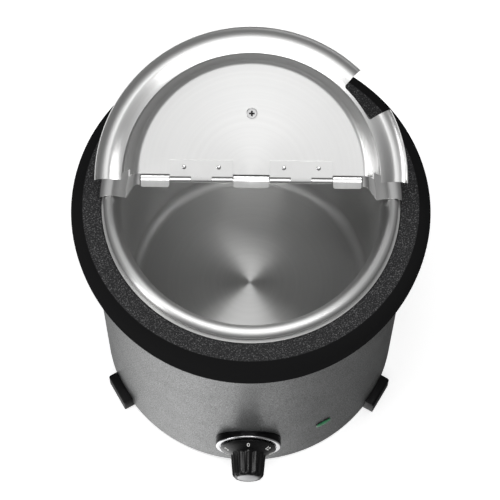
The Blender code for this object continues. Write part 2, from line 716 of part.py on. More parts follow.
# Lid.
def lid_section():
    """Section of the pressed lid in the hinge frame, whose Z = 0 is the pin's height."""
    fold_z = LID_FOLD_Z - PIN_Z
    disc_z = LID_DISC_Z - PIN_Z
    ridge_z = fold_z + LID_RIDGE_RISE
    lip_z = fold_z - LID_LIP_DROP
    lean = math.tan(LID_DRAFT)
    shoulder_angle = 90 - math.degrees(LID_DRAFT)
    wall_top_r = LID_FOLD_RADIUS - lean * LID_RISE
    shoulder_run = LID_SHOULDER * math.tan(math.radians(shoulder_angle) / 2)
    shoulder_centre = (wall_top_r - shoulder_run, disc_z - LID_SHOULDER)
    path = [(0.0, disc_z)]
    path += arc(shoulder_centre, LID_SHOULDER, 90, 90 - shoulder_angle, 4)
    path += [
        (LID_FOLD_RADIUS - 0.0008 * lean - 0.0002, fold_z + 0.0012),
        (LID_FOLD_RADIUS + 0.0009, fold_z),
        (0.5 * (LID_FOLD_RADIUS + RIDGE_RADIUS), fold_z + 0.52 * LID_RIDGE_RISE),
        (RIDGE_RADIUS - 0.0022, ridge_z - 0.0003),
    ]
    span = LID_LIP_RADIUS - RIDGE_RADIUS
    fall = ridge_z - lip_z
    for step in range(5):
        angle = math.pi / 2 * step / 4
        path.append((RIDGE_RADIUS + span * math.sin(angle), ridge_z - fall * (1 - math.cos(angle))))
    return thicken(path, LID_SHEET)


def whole_lid():
    """The lid before it is split, in the hinge frame: its own axis stands in front of the pin."""
    return turned(revolve(lid_section()), place=(0.0, -HINGE_Y, 0.0))


def rivet_places(side, sign):
    """Rivets of one leaf: sign is -1 on the flap and +1 on the rear half."""
    for spread in (-RIVET_SPREAD, RIVET_SPREAD):
        yield side * HINGE_OFFSET + spread, sign * RIVET_REACH


def rivet_holes(sign):
    radius = RIVET_RADIUS + PIN_CLEARANCE
    solids = []
    for side in (-1, 1):
        for x, y in rivet_places(side, sign):
            solids.append(turned(rod(radius, -THROUGH, THROUGH, SMALL_STEPS), place=(x, y, 0.0)))
    return join(solids)


def build_lid_halves(flap_frame, rear_frame, material):
    disc_z = LID_DISC_Z - PIN_Z
    fold_z = LID_FOLD_Z - PIN_Z
    reach = 2 * LID_LIP_RADIUS
    flap = make_object("lid_flap", whole_lid(), material, flap_frame)
    cut(flap, "flap_side", box((-reach, -FLAP_EDGE, -0.1), (reach, reach, 0.1)), flap_frame)
    cut(flap, "ladle_notch", notch_solid(fold_z), flap_frame)
    relief_outer = LID_FOLD_RADIUS + 0.0004
    relief_inner = relief_outer - RELIEF_WIDTH
    relief_y = -FLAP_EDGE - WALL_RELIEF
    reliefs = []
    for side in (-1, 1):
        low, high = sorted((side * relief_inner, side * relief_outer))
        reliefs.append(box((low, relief_y, fold_z - 0.004), (high, 0.0, disc_z - 0.45 * LID_RISE)))
    cut(flap, "flap_wall_reliefs", join(reliefs), flap_frame)
    cut(flap, "flap_rivet_holes", rivet_holes(-1), flap_frame)
    screw_hole = rod(SCREW_RADIUS + HOLE_CLEARANCE, -THROUGH, THROUGH, SMALL_STEPS)
    cut(flap, "flap_screw_hole", turned(screw_hole, place=(0.0, -LID_KNOB_REACH, 0.0)), flap_frame)

    rear = make_object("lid_rear_half", whole_lid(), material, rear_frame)
    cut(rear, "rear_side", box((-reach, -reach, -0.1), (reach, -REAR_EDGE, 0.1)), rear_frame)
    disc_edge = wall_start() + 0.0004
    strip = box((-disc_edge, -0.02, disc_z - 0.004), (disc_edge, REAR_STEP_BACK, disc_z + 0.004))
    cut(rear, "rear_strip", strip, rear_frame)
    cut(rear, "rear_rivet_holes", rivet_holes(1), rear_frame)
    leaf_inner = HINGE_OFFSET - LEAF_WIDTH / 2 - 0.0008
    leaf_outer = HINGE_OFFSET + LEAF_WIDTH / 2 + 0.0008
    tabs = ((-disc_edge + 0.001, -leaf_outer), (-leaf_inner, leaf_inner), (leaf_outer, disc_edge - 0.001))
    for index, (low, high) in enumerate(tabs):
        add(rear, f"rear_tab_{index + 1}", tab_solid(low, high, disc_z), rear_frame)


def wall_start():
    """Radius at which the lid's flat disc ends and its shoulder begins."""
    shoulder_angle = math.pi / 2 - LID_DRAFT
    return LID_FOLD_RADIUS - math.tan(LID_DRAFT) * LID_RISE - LID_SHOULDER * math.tan(shoulder_angle / 2)


def tab_solid(low, high, disc_z):
    """Step-down ledge that the closed flap's edge lies over."""
    inset = 0.1 * LID_SHEET
    path = [
        (REAR_STEP_BACK + 0.003, disc_z - inset),
        (REAR_STEP_BACK - 0.0012, disc_z - inset),
        (REAR_STEP_BACK - 0.0030, disc_z - LID_SHEET - TAB_DROP + 0.0003),
        (-TAB_REACH, disc_z - LID_SHEET - TAB_DROP + 0.0003),
    ]
    section = thicken([(-y, z) for y, z in path], LID_SHEET - 2 * inset)
    bm = across_x([(-y, z) for y, z in section], low, high)
    corners = [edge for edge in bm.edges
               if all(abs(v.co.y + TAB_REACH) < 1e-6 for v in edge.verts)
               and abs(edge.verts[0].co.x - edge.verts[1].co.x) < 1e-6]
    bmesh.ops.bevel(bm, geom=corners, offset=TAB_CORNER, offset_type="OFFSET", segments=3,
                    profile=0.5, affect="EDGES", material=-1)
    return bm


def notch_solid(fold_z):
    """Cutter of the ladle notch: a sector with rounded inner corners."""
    inner = LID_FOLD_RADIUS + NOTCH_FROM_FOLD
    outer = LID_LIP_RADIUS + THROUGH
    steps = 4
    outline = []
    for step in range(steps + 1):
        angle = -NOTCH_START - (NOTCH_END - NOTCH_START) * step / steps
        outline.append((inner * math.cos(angle), inner * math.sin(angle)))
    for angle in (-NOTCH_END, -NOTCH_START):
        outline.append((outer * math.cos(angle), outer * math.sin(angle)))
    bm = extrude_outline(outline, 2 * THROUGH, Matrix.Translation((0.0, 0.0, fold_z - THROUGH)))
    corners = []
    for edge in bm.edges:
        a, b = (v.co for v in edge.verts)
        upright = (a - b).to_2d().length < 1e-6
        angle = -math.atan2(a.y, a.x)
        at_end = min(abs(angle - NOTCH_START), abs(angle - NOTCH_END)) < 1e-4
        if upright and at_end and a.to_2d().length < inner + 1e-4:
            corners.append(edge)
    bmesh.ops.bevel(bm, geom=corners, offset=NOTCH_CORNER, offset_type="OFFSET", segments=3,
                    profile=0.5, affect="EDGES", material=-1)
    return turned(bm, place=(0.0, -HINGE_Y, 0.0))


# Hinges.
def leaf_outline(sign):
    """Section of a rolled leaf as (y, z) points: sign is -1 on the flap and +1 on the rear half."""
    top = -BARREL_RADIUS + LEAF_SHEET
    end = math.degrees(math.asin(top / BARREL_RADIUS))
    points = [(LEAF_REACH, top), (LEAF_REACH, -BARREL_RADIUS)]
    points += arc((0.0, 0.0), BARREL_RADIUS, -90, end - 360, 12)
    return [(sign * y, z) for y, z in points]


def leaf_knuckle_cuts(centre, sign):
    inner = KNUCKLE_WIDTH / 2
    outer = LEAF_WIDTH / 2 + 0.002
    deep = 2 * BARREL_RADIUS
    low_y, high_y = sorted((-sign * deep, sign * LEAF_SETBACK))
    if sign > 0:
        spans = [(-inner - KNUCKLE_GAP, inner + KNUCKLE_GAP)]
    else:
        spans = [(-outer, -inner), (inner, outer)]
    return join([box((centre + a, low_y, -deep), (centre + b, high_y, deep)) for a, b in spans])


def build_hinges(flap_frame, rear_frame, leaf_material, pin_material):
    half_pin = LEAF_WIDTH / 2 + 0.0002
    for side, name in ((-1, "left"), (1, "right")):
        centre = side * HINGE_OFFSET
        span = (centre - LEAF_WIDTH / 2, centre + LEAF_WIDTH / 2)
        for sign, part, frame in ((-1, "flap", flap_frame), (1, "rear", rear_frame)):
            tag = f"{part}_{name}"
            solid = across_x(leaf_outline(sign), *span)
            leaf = make_object(f"hinge_leaf_{tag}", solid, leaf_material, frame)
            cut(leaf, f"leaf_knuckles_{tag}", leaf_knuckle_cuts(centre, sign), frame)
            bore = rod(PIN_RADIUS + PIN_CLEARANCE, -LEAF_WIDTH, LEAF_WIDTH)
            cut(leaf, f"leaf_bore_{tag}", along_x(bore, (centre, 0.0, 0.0)), frame)
            holes = []
            for number, (x, y) in enumerate(rivet_places(side, sign)):
                hole = rod(RIVET_RADIUS + PIN_CLEARANCE, -THROUGH, 0.0, SMALL_STEPS)
                holes.append(turned(hole, place=(x, y, 0.0)))
                solid = turned(revolve(rivet_outline(), SMALL_STEPS), place=(x, y, 0.0))
                make_object(f"rivet_{tag}_{number + 1}", solid, pin_material, frame)
            cut(leaf, f"leaf_rivet_holes_{tag}", join(holes), frame)
        pin = rod(PIN_RADIUS, -half_pin, half_pin)
        make_object(f"hinge_pin_{name}", along_x(pin, (centre, 0.0, 0.0)), pin_material, rear_frame)


def rivet_outline():
    """Rivet through the lid sheet and the leaf below it, headed on both sides."""
    top = -PIN_ABOVE_DISC + 0.5 * SEAT_GAP
    bottom = -BARREL_RADIUS - 0.5 * SEAT_GAP
    return [
        (0.0, bottom - RIVET_HEAD_HEIGHT),
        (0.6 * RIVET_HEAD_RADIUS, bottom - 0.85 * RIVET_HEAD_HEIGHT),
        (RIVET_HEAD_RADIUS, bottom),
        (RIVET_RADIUS, bottom),
        (RIVET_RADIUS, top),
        (RIVET_HEAD_RADIUS, top),
        (0.6 * RIVET_HEAD_RADIUS, top + 0.85 * RIVET_HEAD_HEIGHT),
        (0.0, top + RIVET_HEAD_HEIGHT),
    ]


def build_lid_knob(flap_frame, knob_material, screw_material):
    base = LID_KNOB_BASE
    top = base + LID_KNOB_HEIGHT
    round_centre = (LID_KNOB_RADIUS - LID_KNOB_ROUND, top - LID_KNOB_ROUND)
    outline = [
        (0.0, base),
        (LID_KNOB_FOOT_RADIUS, base),
        (LID_KNOB_FOOT_RADIUS, base + 0.06 * LID_KNOB_HEIGHT),
        (LID_KNOB_NECK_RADIUS, base + 0.15 * LID_KNOB_HEIGHT),
        (LID_KNOB_NECK_RADIUS, base + 0.40 * LID_KNOB_HEIGHT),
        (0.68 * LID_KNOB_RADIUS, base + 0.56 * LID_KNOB_HEIGHT),
        (LID_KNOB_RADIUS, top - 2.2 * LID_KNOB_ROUND),
    ]
    outline += arc(round_centre, LID_KNOB_ROUND, 0, 90, 4) + [(0.0, top)]
    place = (0.0, -LID_KNOB_REACH, 0.0)
    knob = turned(revolve(outline, ROUND_STEPS), place=place)
    knob = make_object("lid_knob", knob, knob_material, flap_frame)
    bore_top = base + LID_KNOB_BORE_DEPTH
    bore = rod(SCREW_RADIUS + HOLE_CLEARANCE, base - THROUGH, bore_top, SMALL_STEPS)
    cut(knob, "lid_knob_bore", turned(bore, place=place), flap_frame)
    under = -PIN_ABOVE_DISC - LID_SHEET - 0.5 * SEAT_GAP
    length = bore_top - SEAT_GAP - under
    screw = screw_outline(SCREW_RADIUS, LID_SCREW_HEAD_RADIUS, SCREW_HEAD_HEIGHT, length)
    solid = turned(revolve(screw, SMALL_STEPS), place=(0.0, -LID_KNOB_REACH, under))
    make_object("lid_knob_screw", solid, screw_material, flap_frame)


def build():
    clear_scene()
    steel = make_material("stainless_steel", (0.62, 0.62, 0.61), 1.0, 0.25)
    pressed = make_material("lid_steel", (0.70, 0.70, 0.69), 1.0, 0.22)
    paint = make_material("hammer_paint", (0.33, 0.34, 0.34), 0.5, 0.45)
    plastic = make_material("black_plastic", (0.015, 0.015, 0.016), 0.0, 0.45)
    knob = make_material("knob_plastic", (0.012, 0.012, 0.013), 0.0, 0.35)
    zinc = make_material("zinc_sheet", (0.55, 0.56, 0.57), 1.0, 0.45)
    silver = make_material("bezel_silver", (0.75, 0.75, 0.76), 1.0, 0.25)
    green = make_material("lamp_green", (0.02, 0.30, 0.10), 0.0, 0.2)
    phenolic = make_material("phenolic", (0.05, 0.04, 0.035), 0.0, 0.6)
    ceramic = make_material("terminal_white", (0.75, 0.74, 0.70), 0.0, 0.5)
    heater = make_material("heater_sheath", (0.20, 0.19, 0.18), 1.0, 0.5)

    shell = build_shell(paint)
    build_base(shell, zinc, plastic, zinc)
    build_ring(plastic)
    build_well(steel)
    build_pot(steel)
    build_heater(heater, zinc, zinc)
    controls = {"bezel": silver, "knob": knob, "cap": silver, "phenolic": phenolic, "steel": zinc}
    build_controls(shell, controls)
    build_lamp(shell, green, phenolic)
    build_gland(shell, plastic, ceramic)

    pin_place = (0.0, HINGE_Y, PIN_Z)
    rear_frame = make_frame("rear_half_frame", pin_place)
    flap_frame = make_frame("flap_hinge_axis", pin_place, (-open_angle(), 0.0, 0.0))
    build_lid_halves(flap_frame, rear_frame, pressed)
    build_hinges(flap_frame, rear_frame, pressed, zinc)
    build_lid_knob(flap_frame, plastic, zinc)


build()
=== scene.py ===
"""Soup kettle: the finished pieces and their finishes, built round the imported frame.

Metres, +Z up, in the frame's own place: the control knob faces -Y, and the lid's hinge line runs along X.
Every turned, folded and moulded piece is made here at full smoothness and stands for its plain CAD node.
"""

import json
import math

import bmesh
import bpy
from mathutils import Matrix, Vector


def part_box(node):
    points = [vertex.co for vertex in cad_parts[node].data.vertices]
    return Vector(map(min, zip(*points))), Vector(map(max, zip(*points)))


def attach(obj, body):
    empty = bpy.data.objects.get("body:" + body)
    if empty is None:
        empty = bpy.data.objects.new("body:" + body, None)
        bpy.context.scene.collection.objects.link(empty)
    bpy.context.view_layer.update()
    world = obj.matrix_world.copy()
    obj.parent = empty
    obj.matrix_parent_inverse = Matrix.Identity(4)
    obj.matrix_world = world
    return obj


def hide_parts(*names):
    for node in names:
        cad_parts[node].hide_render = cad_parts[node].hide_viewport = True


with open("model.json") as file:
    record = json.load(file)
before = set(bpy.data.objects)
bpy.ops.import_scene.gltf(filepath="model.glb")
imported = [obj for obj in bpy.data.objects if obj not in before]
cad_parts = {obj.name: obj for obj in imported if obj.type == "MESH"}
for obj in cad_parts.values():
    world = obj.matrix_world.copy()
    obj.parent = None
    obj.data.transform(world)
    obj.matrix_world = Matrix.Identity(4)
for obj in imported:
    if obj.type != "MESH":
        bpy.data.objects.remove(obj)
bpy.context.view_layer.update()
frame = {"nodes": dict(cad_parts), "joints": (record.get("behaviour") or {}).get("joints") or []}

# Sizes read from the frame.
POT_LOW, POT_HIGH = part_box("soup_pot")
WELL_LOW, WELL_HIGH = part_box("water_well")
RING_LOW, RING_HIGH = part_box("collar_ring")
SHELL_LOW, SHELL_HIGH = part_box("body_shell")
BEZEL_LOW, BEZEL_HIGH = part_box("dial_bezel")
KNOB_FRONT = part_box("control_knob")[0].y
FOOT_LOW, FOOT_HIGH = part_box("foot_2")
HINGE = next(joint for joint in frame["joints"] if joint["name"] == "flap_hinge")
PIN_PLACE = Vector(HINGE["pos_m"])

# Sheet thicknesses and clearances.
POT_SHEET = 0.001
WELL_SHEET = 0.0008
LID_SHEET = 0.0008
SHELL_SHEET = 0.001
SEAT_GAP = 0.0003
HOLE_CLEARANCE = 0.0003
THROUGH = 0.010

# Pot and water well.
POT_RADIUS = 0.122
POT_FILLET = 0.012
RIM_Z = POT_HIGH.z
RIM_RADIUS = POT_HIGH.x
RIM_INNER = 0.1284
RIDGE_RADIUS = 0.131
RIM_DROP = 0.0065
RIM_HEIGHT = 0.0125
FLARE_DEPTH = 0.016
WELL_RADIUS = 0.133
WELL_FILLET = 0.008
WELL_BEND = 0.0015

# Collar.
RING_WALL = 0.003
RING_LEAN = 0.0055
RING_NOSE = 0.011
RING_TOP_ROUND = 0.011
RING_CHAMFER = 0.0012
BORE_RADIUS = 0.141
GRAIN_EDGE = 0.1585

# Shell and feet.
SHELL_RADIUS = SHELL_HIGH.x
SHELL_INNER = SHELL_RADIUS - SHELL_SHEET
SHELL_FLANGE = 0.013
FLANGE_Z = 0.0015
FOOT_AZIMUTHS = (60, 180, 300)
FOOT_WIDTH = 0.035
FOOT_UNDER = 0.024
FOOT_PROUD = 0.0095
FOOT_CHAMFER = 0.002
FOOT_LAP = 0.004
FOOT_ROUND = 0.0007
FOOT_SCREW_DEPTH = 0.0034

# Lid.
LID_FOLD_RADIUS = 0.1175
LID_RISE = 0.030
LID_RIDGE_RISE = 0.0047
LID_LIP_DROP = 0.0020
LID_LIP_RADIUS = RIM_RADIUS + 0.0038
LID_DRAFT = math.radians(17.5)
LID_SHOULDER = 0.0075
FLAP_EDGE = 0.0054
REAR_EDGE = 0.0050
REAR_STEP_BACK = 0.0045
TAB_DROP = 0.0012
TAB_REACH = 0.0065
TAB_CORNER = 0.002
NOTCH_START = math.radians(28.5)
NOTCH_END = math.radians(46.7)
NOTCH_FROM_FOLD = 0.003
NOTCH_CORNER = 0.0025
WALL_RELIEF = 0.0065
RELIEF_WIDTH = 0.0105

# Hinges, in their own frame: Z = 0 on the pin, the lid's axis ahead of it.
HINGE_Y = PIN_PLACE.y
HINGE_OFFSET = 0.046
LEAF_WIDTH = 0.058
LEAF_REACH = 0.0188
LEAF_SHEET = 0.0006
BARREL_RADIUS = 0.0028
KNUCKLE_WIDTH = 0.019
KNUCKLE_GAP = 0.0005
LEAF_SETBACK = 0.0034
RIVET_SPREAD = 0.016
RIVET_REACH = 0.0122
RIVET_RADIUS = 0.0012
RIVET_HEAD_RADIUS = 0.0021
RIVET_HEAD_HEIGHT = 0.0008
PIN_ABOVE_DISC = 0.0012
PIN_RADIUS = 0.0020
DISC_Z = -PIN_ABOVE_DISC
FOLD_Z = DISC_Z - LID_RISE
LEAF_WINDOW = 0.0008
CUT_SLIP = 0.0004

# Lid knob.
LID_KNOB_REACH = 0.063
LID_KNOB_RADIUS = 0.015
LID_KNOB_HEIGHT = 0.0396
LID_KNOB_ROUND = 0.004
LID_KNOB_BASE = SEAT_GAP - PIN_ABOVE_DISC
LID_KNOB_FOOT_RADIUS = 0.0105
LID_KNOB_NECK_RADIUS = 0.0078
LID_KNOB_BORE_DEPTH = 0.014
LID_SCREW_HEAD_RADIUS = 0.005
LID_SCREW_SEAT = Vector((0.0, -LID_KNOB_REACH, DISC_Z - LID_SHEET - 0.5 * SEAT_GAP))

# Screws of the lid knob, the feet and the base plate.
SCREW_HEAD_HEIGHT = 0.0024
SCREW_SHANK_RADIUS = 0.0020
SCREW_HOLE_RADIUS = 0.0023
SCREW_SLOT_HALF = 0.0008

# Control knob, lamp and bezel, heights counted out from the shell.
CONTROL_Z = 0.5 * (BEZEL_LOW.z + BEZEL_HIGH.z)
BEZEL_RADIUS = BEZEL_HIGH.x
BEZEL_FRONT = 0.0065
BEZEL_EDGE = 0.0012
SKIRT_Z = BEZEL_FRONT + 0.0008
SKIRT_RADIUS = 0.0285
SKIRT_EDGE = 0.0015
SKIRT_RISE = 0.006
GRIP_RADIUS = 0.018
GRIP_TAPER = 0.002
GRIP_Z = SKIRT_Z + SKIRT_EDGE + SKIRT_RISE
TIP_Z = -KNOB_FRONT - SHELL_RADIUS
GRIP_LOBES = 12
LOBE_DEPTH = 0.0018
CAP_RADIUS = 0.0112
CAP_THICKNESS = 0.0014
CAP_DOME = 0.0009
SHAFT_HOLE_RADIUS = 0.006
KNOB_BORE_RADIUS = 0.0033
KNOB_BORE_DEPTH = 0.020
SCALE_RADIUS = 0.0236
SCALE_SIZE = 0.0066
SCALE_FIRST = math.radians(68)
SCALE_STEP = math.radians(47)
SCALE_INK = 0.00022
SCALE_BOLD = 0.00004
LAMP_AZIMUTH = math.radians(30)
LAMP_Z = 0.068
LAMP_WIDTH = 0.017
LAMP_TALL = 0.012
LAMP_PROUD = 0.002
LAMP_HOLE_HALF = 0.0064
GLAND_AZIMUTH = math.radians(150)
GLAND_HOLE_RADIUS = 0.0071

# Smoothness.
TURN = 2 * math.pi
RING_STEPS = 160
ROUND_STEPS = 64
SMALL_STEPS = 28

# Viewpoint and light.
CAMERA_PLACE = (-0.0004, -0.7779, 2.0565)
CAMERA_PITCH = math.radians(67.18)
CAMERA_ROLL = math.radians(0.6)
CAMERA_LENS = 145.4
EYE_LEVEL_LIGHT = 0.16


def open_angle():
    """Angle from closed to open: the flap's knob, rounded at its rim, rests on the rear half."""
    reach = LID_KNOB_REACH - LID_KNOB_RADIUS + LID_KNOB_ROUND
    height = LID_KNOB_BASE + LID_KNOB_HEIGHT - LID_KNOB_ROUND
    offset = LID_KNOB_ROUND + SEAT_GAP - PIN_ABOVE_DISC
    wedge = math.atan2(height, reach) + math.asin(offset / math.hypot(reach, height))
    return math.pi - wedge


REAR_PLACE = Matrix.Translation(PIN_PLACE)
FLAP_PLACE = REAR_PLACE @ Matrix.Rotation(-open_angle(), 4, "X")
DIAL_PLACE = Matrix.Translation((0.0, -SHELL_RADIUS, CONTROL_Z)) @ Matrix.Rotation(math.pi / 2, 4, "X")


def out_of_shell(azimuth, height):
    """Place on the shell whose Z points out. The azimuth counts from the front towards +X."""
    place = (SHELL_RADIUS * math.sin(azimuth), -SHELL_RADIUS * math.cos(azimuth), height)
    return Matrix.Translation(place) @ Matrix.Rotation(azimuth, 4, "Z") @ Matrix.Rotation(math.pi / 2, 4, "X")


# Outlines.
def arc(centre, radius, start, end, steps):
    """Points of a circular arc, angles in degrees."""
    points = []
    for step in range(steps + 1):
        angle = math.radians(start + (end - start) * step / steps)
        points.append((centre[0] + radius * math.cos(angle), centre[1] + radius * math.sin(angle)))
    return points


def soften(points, rounds=2):
    """Cuts the corners of an open path again and again, which turns it into a curve. Its ends stay."""
    path = [Vector(point) for point in points]
    for _ in range(rounds):
        cut = [path[0]]
        for a, b in zip(path, path[1:]):
            cut += [a.lerp(b, 0.25), a.lerp(b, 0.75)]
        path = cut + [path[-1]]
    return [tuple(point) for point in path]


def thicken(path, thickness):
    """Closed section of a sheet: the path, and the same path offset to its right-hand side."""
    offset = []
    for index, point in enumerate(path):
        here = Vector(point)
        before = (here - Vector(path[index - 1])).normalized() if index else None
        after = (Vector(path[index + 1]) - here).normalized() if index + 1 < len(path) else None
        before = before or after
        after = after or before
        along = (before + after).normalized()
        right = Vector((along.y, -along.x))
        offset.append(tuple(here + right * (thickness / max(along.dot(after), 0.5))))
    return list(path) + offset[::-1]


# Solids.
def revolve(outline, steps=RING_STEPS):
    """Full turn of a closed outline of (radius, height) points about Z."""
    bm = bmesh.new()
    corners = [bm.verts.new((radius, 0.0, height)) for radius, height in outline]
    edges = [bm.edges.new((corners[i - 1], corners[i])) for i in range(len(corners))]
    on_axis = [edge for edge in edges if all(abs(v.co.x) < 1e-9 for v in edge.verts)]
    bmesh.ops.delete(bm, geom=on_axis, context="EDGES")
    bmesh.ops.spin(bm, geom=bm.verts[:] + bm.edges[:], axis=(0, 0, 1), cent=(0, 0, 0), angle=TURN,
                   steps=steps, use_merge=True)
    bmesh.ops.remove_doubles(bm, verts=bm.verts, dist=1e-7)
    bmesh.ops.recalc_face_normals(bm, faces=bm.faces)
    return bm


def moved(bm, matrix):
    bmesh.ops.transform(bm, matrix=matrix, verts=bm.verts)
    return bm


def shifted(bm, x=0.0, y=0.0, z=0.0):
    return moved(bm, Matrix.Translation((x, y, z)))


def rod(radius, low, high, steps=ROUND_STEPS):
    return revolve([(0.0, low), (radius, low), (radius, high), (0.0, high)], steps)


def block(low, high):
    bm = bmesh.new()
    bmesh.ops.create_cube(bm, size=1.0)
    bmesh.ops.scale(bm, vec=[b - a for a, b in zip(low, high)], verts=bm.verts)
    bmesh.ops.translate(bm, vec=[(a + b) / 2 for a, b in zip(low, high)], verts=bm.verts)
    return bm


def prism(outline, depth):
    """Closed outline of (x, y) points, extruded from Z = 0."""
    bm = bmesh.new()
    face = bm.faces.new([bm.verts.new((x, y, 0.0)) for x, y in outline])
    top = bmesh.ops.extrude_face_region(bm, geom=[face])["geom"]
    bmesh.ops.translate(bm, vec=(0, 0, depth), verts=[v for v in top if isinstance(v, bmesh.types.BMVert)])
    bmesh.ops.recalc_face_normals(bm, faces=bm.faces)
    return bm


def across_x(outline, x_low, x_high):
    """Prism along X of an outline of (y, z) points."""
    place = Matrix(((0, 0, 1, x_low), (1, 0, 0, 0), (0, 1, 0, 0), (0, 0, 0, 1)))
    return moved(prism(outline, x_high - x_low), place)


def round_edges(bm, edges, offset, segments=3):
    bmesh.ops.bevel(bm, geom=edges, offset=offset, offset_type="OFFSET", segments=segments, profile=0.5,
                    affect="EDGES", material=-1)
    return bm


def linked(name, bm):
    """Object of that name, at the origin, that holds the bmesh."""
    mesh = bpy.data.meshes.new(name)
    bm.to_mesh(mesh)
    bm.free()
    made = bpy.data.objects.new(name, mesh)
    bpy.context.collection.objects.link(made)
    return made


def combined(bm, others, operation):
    """Cuts other solids out of one, or joins them to it."""
    target = linked("target", bm)
    tools = [linked("tool", other) for other in others]
    for tool in tools:
        modifier = target.modifiers.new("combine", "BOOLEAN")
        modifier.operation = operation
        modifier.solver = "EXACT"
        modifier.object = tool
    bpy.context.view_layer.update()
    evaluated = target.evaluated_get(bpy.context.evaluated_depsgraph_get())
    result = bmesh.new()
    result.from_mesh(evaluated.to_mesh())
    evaluated.to_mesh_clear()
    for used in [target] + tools:
        mesh = used.data
        bpy.data.objects.remove(used)
        bpy.data.meshes.remove(mesh)
    bmesh.ops.remove_doubles(result, verts=result.verts, dist=1e-6)
    return result


def cut(bm, *tools):
    return combined(bm, tools, "DIFFERENCE")


def piece(name, bm, finish, body, nodes, sharp=32):
    """A finished piece that rides on a body and stands for its CAD nodes."""
    made = linked(name, bm)
    made.data.shade_smooth()
    made.data.set_sharp_from_angle(angle=math.radians(sharp))
    made.data.materials.append(finish)
    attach(made, body)
    if nodes:
        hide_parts(*nodes)
    return made


# Finishes.
class Nodes:
    """Short ways to add nodes to a tree. Inputs may be sockets or plain values."""

    def __init__(self, tree):
        self.nodes = tree.nodes
        self.links = tree.links
        self.place = self.nodes.new("ShaderNodeTexCoord").outputs["Object"]

    def put(self, node, socket, value):
        if isinstance(value, bpy.types.NodeSocket):
            self.links.new(value, node.inputs[socket])
        else:
            node.inputs[socket].default_value = value

    def sum(self, operation, a, b=0.0, c=0.0):
        node = self.nodes.new("ShaderNodeMath")
        node.operation = operation
        for index, value in enumerate((a, b, c)):
            self.put(node, index, value)
        return node.outputs[0]

    def vector(self, operation, a, b=(0.0, 0.0, 0.0)):
        node = self.nodes.new("ShaderNodeVectorMath")
        node.operation = operation
        self.put(node, 0, a)
        self.put(node, 1, b)
        return node.outputs["Value" if operation in ("DOT_PRODUCT", "LENGTH") else "Vector"]

    def scaled(self, vector, factor):
        node = self.nodes.new("ShaderNodeVectorMath")
        node.operation = "SCALE"
        self.put(node, 0, vector)
        self.put(node, "Scale", factor)
        return node.outputs["Vector"]

    def noise(self, place, scale, detail=2.0, roughness=0.5):
        node = self.nodes.new("ShaderNodeTexNoise")
        self.put(node, "Vector", place)
        for socket, value in (("Scale", scale), ("Detail", detail), ("Roughness", roughness)):
            self.put(node, socket, value)
        return node.outputs["Fac"]

    def lines(self, along, scale, detail):
        """Noise that varies along one value only, as brush marks do."""
        node = self.nodes.new("ShaderNodeTexNoise")
        node.noise_dimensions = "1D"
        self.put(node, "W", along)
        self.put(node, "Scale", scale)
        self.put(node, "Detail", detail)
        return node.outputs["Fac"]

    def cells(self, place, scale):
        node = self.nodes.new("ShaderNodeTexVoronoi")
        node.feature = "SMOOTH_F1"
        self.put(node, "Vector", place)
        self.put(node, "Scale", scale)
        return node.outputs["Distance"]

    def between(self, value, low, high, to_low=0.0, to_high=1.0):
        """Maps low..high smoothly onto to_low..to_high."""
        node = self.nodes.new("ShaderNodeMapRange")
        node.interpolation_type = "SMOOTHSTEP"
        for index, amount in enumerate((value, low, high, to_low, to_high)):
            self.put(node, index, amount)
        return node.outputs[0]

    def mixed(self, factor, low, high):
        node = self.nodes.new("ShaderNodeMix")
        node.data_type = "RGBA"
        self.put(node, "Factor", factor)
        self.put(node, 6, low)
        self.put(node, 7, high)
        return node.outputs[2]

    def blend(self, factor, low, high):
        return self.mixed(factor, (*low, 1.0), (*high, 1.0))


class Finish(Nodes):
    """A Principled material and the nodes that feed it."""

    def __init__(self, name, colour, roughness, metallic=0.0, **sockets):
        self.material = bpy.data.materials.new(name)
        self.material.use_nodes = True
        self.material.diffuse_color = (*colour, 1.0)
        super().__init__(self.material.node_tree)
        self.shader = self.nodes["Principled BSDF"]
        self.put(self.shader, "Base Color", (*colour, 1.0))
        self.put(self.shader, "Roughness", roughness)
        self.put(self.shader, "Metallic", metallic)
        for socket, value in sockets.items():
            self.put(self.shader, socket.replace("_", " "), value)

    def colour(self, value):
        self.put(self.shader, "Base Color", value)

    def rough(self, value):
        self.put(self.shader, "Roughness", value)

    def bump(self, height, distance, strength=1.0):
        node = self.nodes.new("ShaderNodeBump")
        self.put(node, "Strength", strength)
        self.put(node, "Distance", distance)
        self.put(node, "Height", height)
        self.links.new(node.outputs["Normal"], self.shader.inputs["Normal"])

    def tangent(self, value):
        node = self.nodes.new("ShaderNodeVectorTransform")
        node.vector_type = "VECTOR"
        node.convert_from = "OBJECT"
        node.convert_to = "WORLD"
        self.put(node, "Vector", value)
        self.links.new(node.outputs["Vector"], self.shader.inputs["Tangent"])


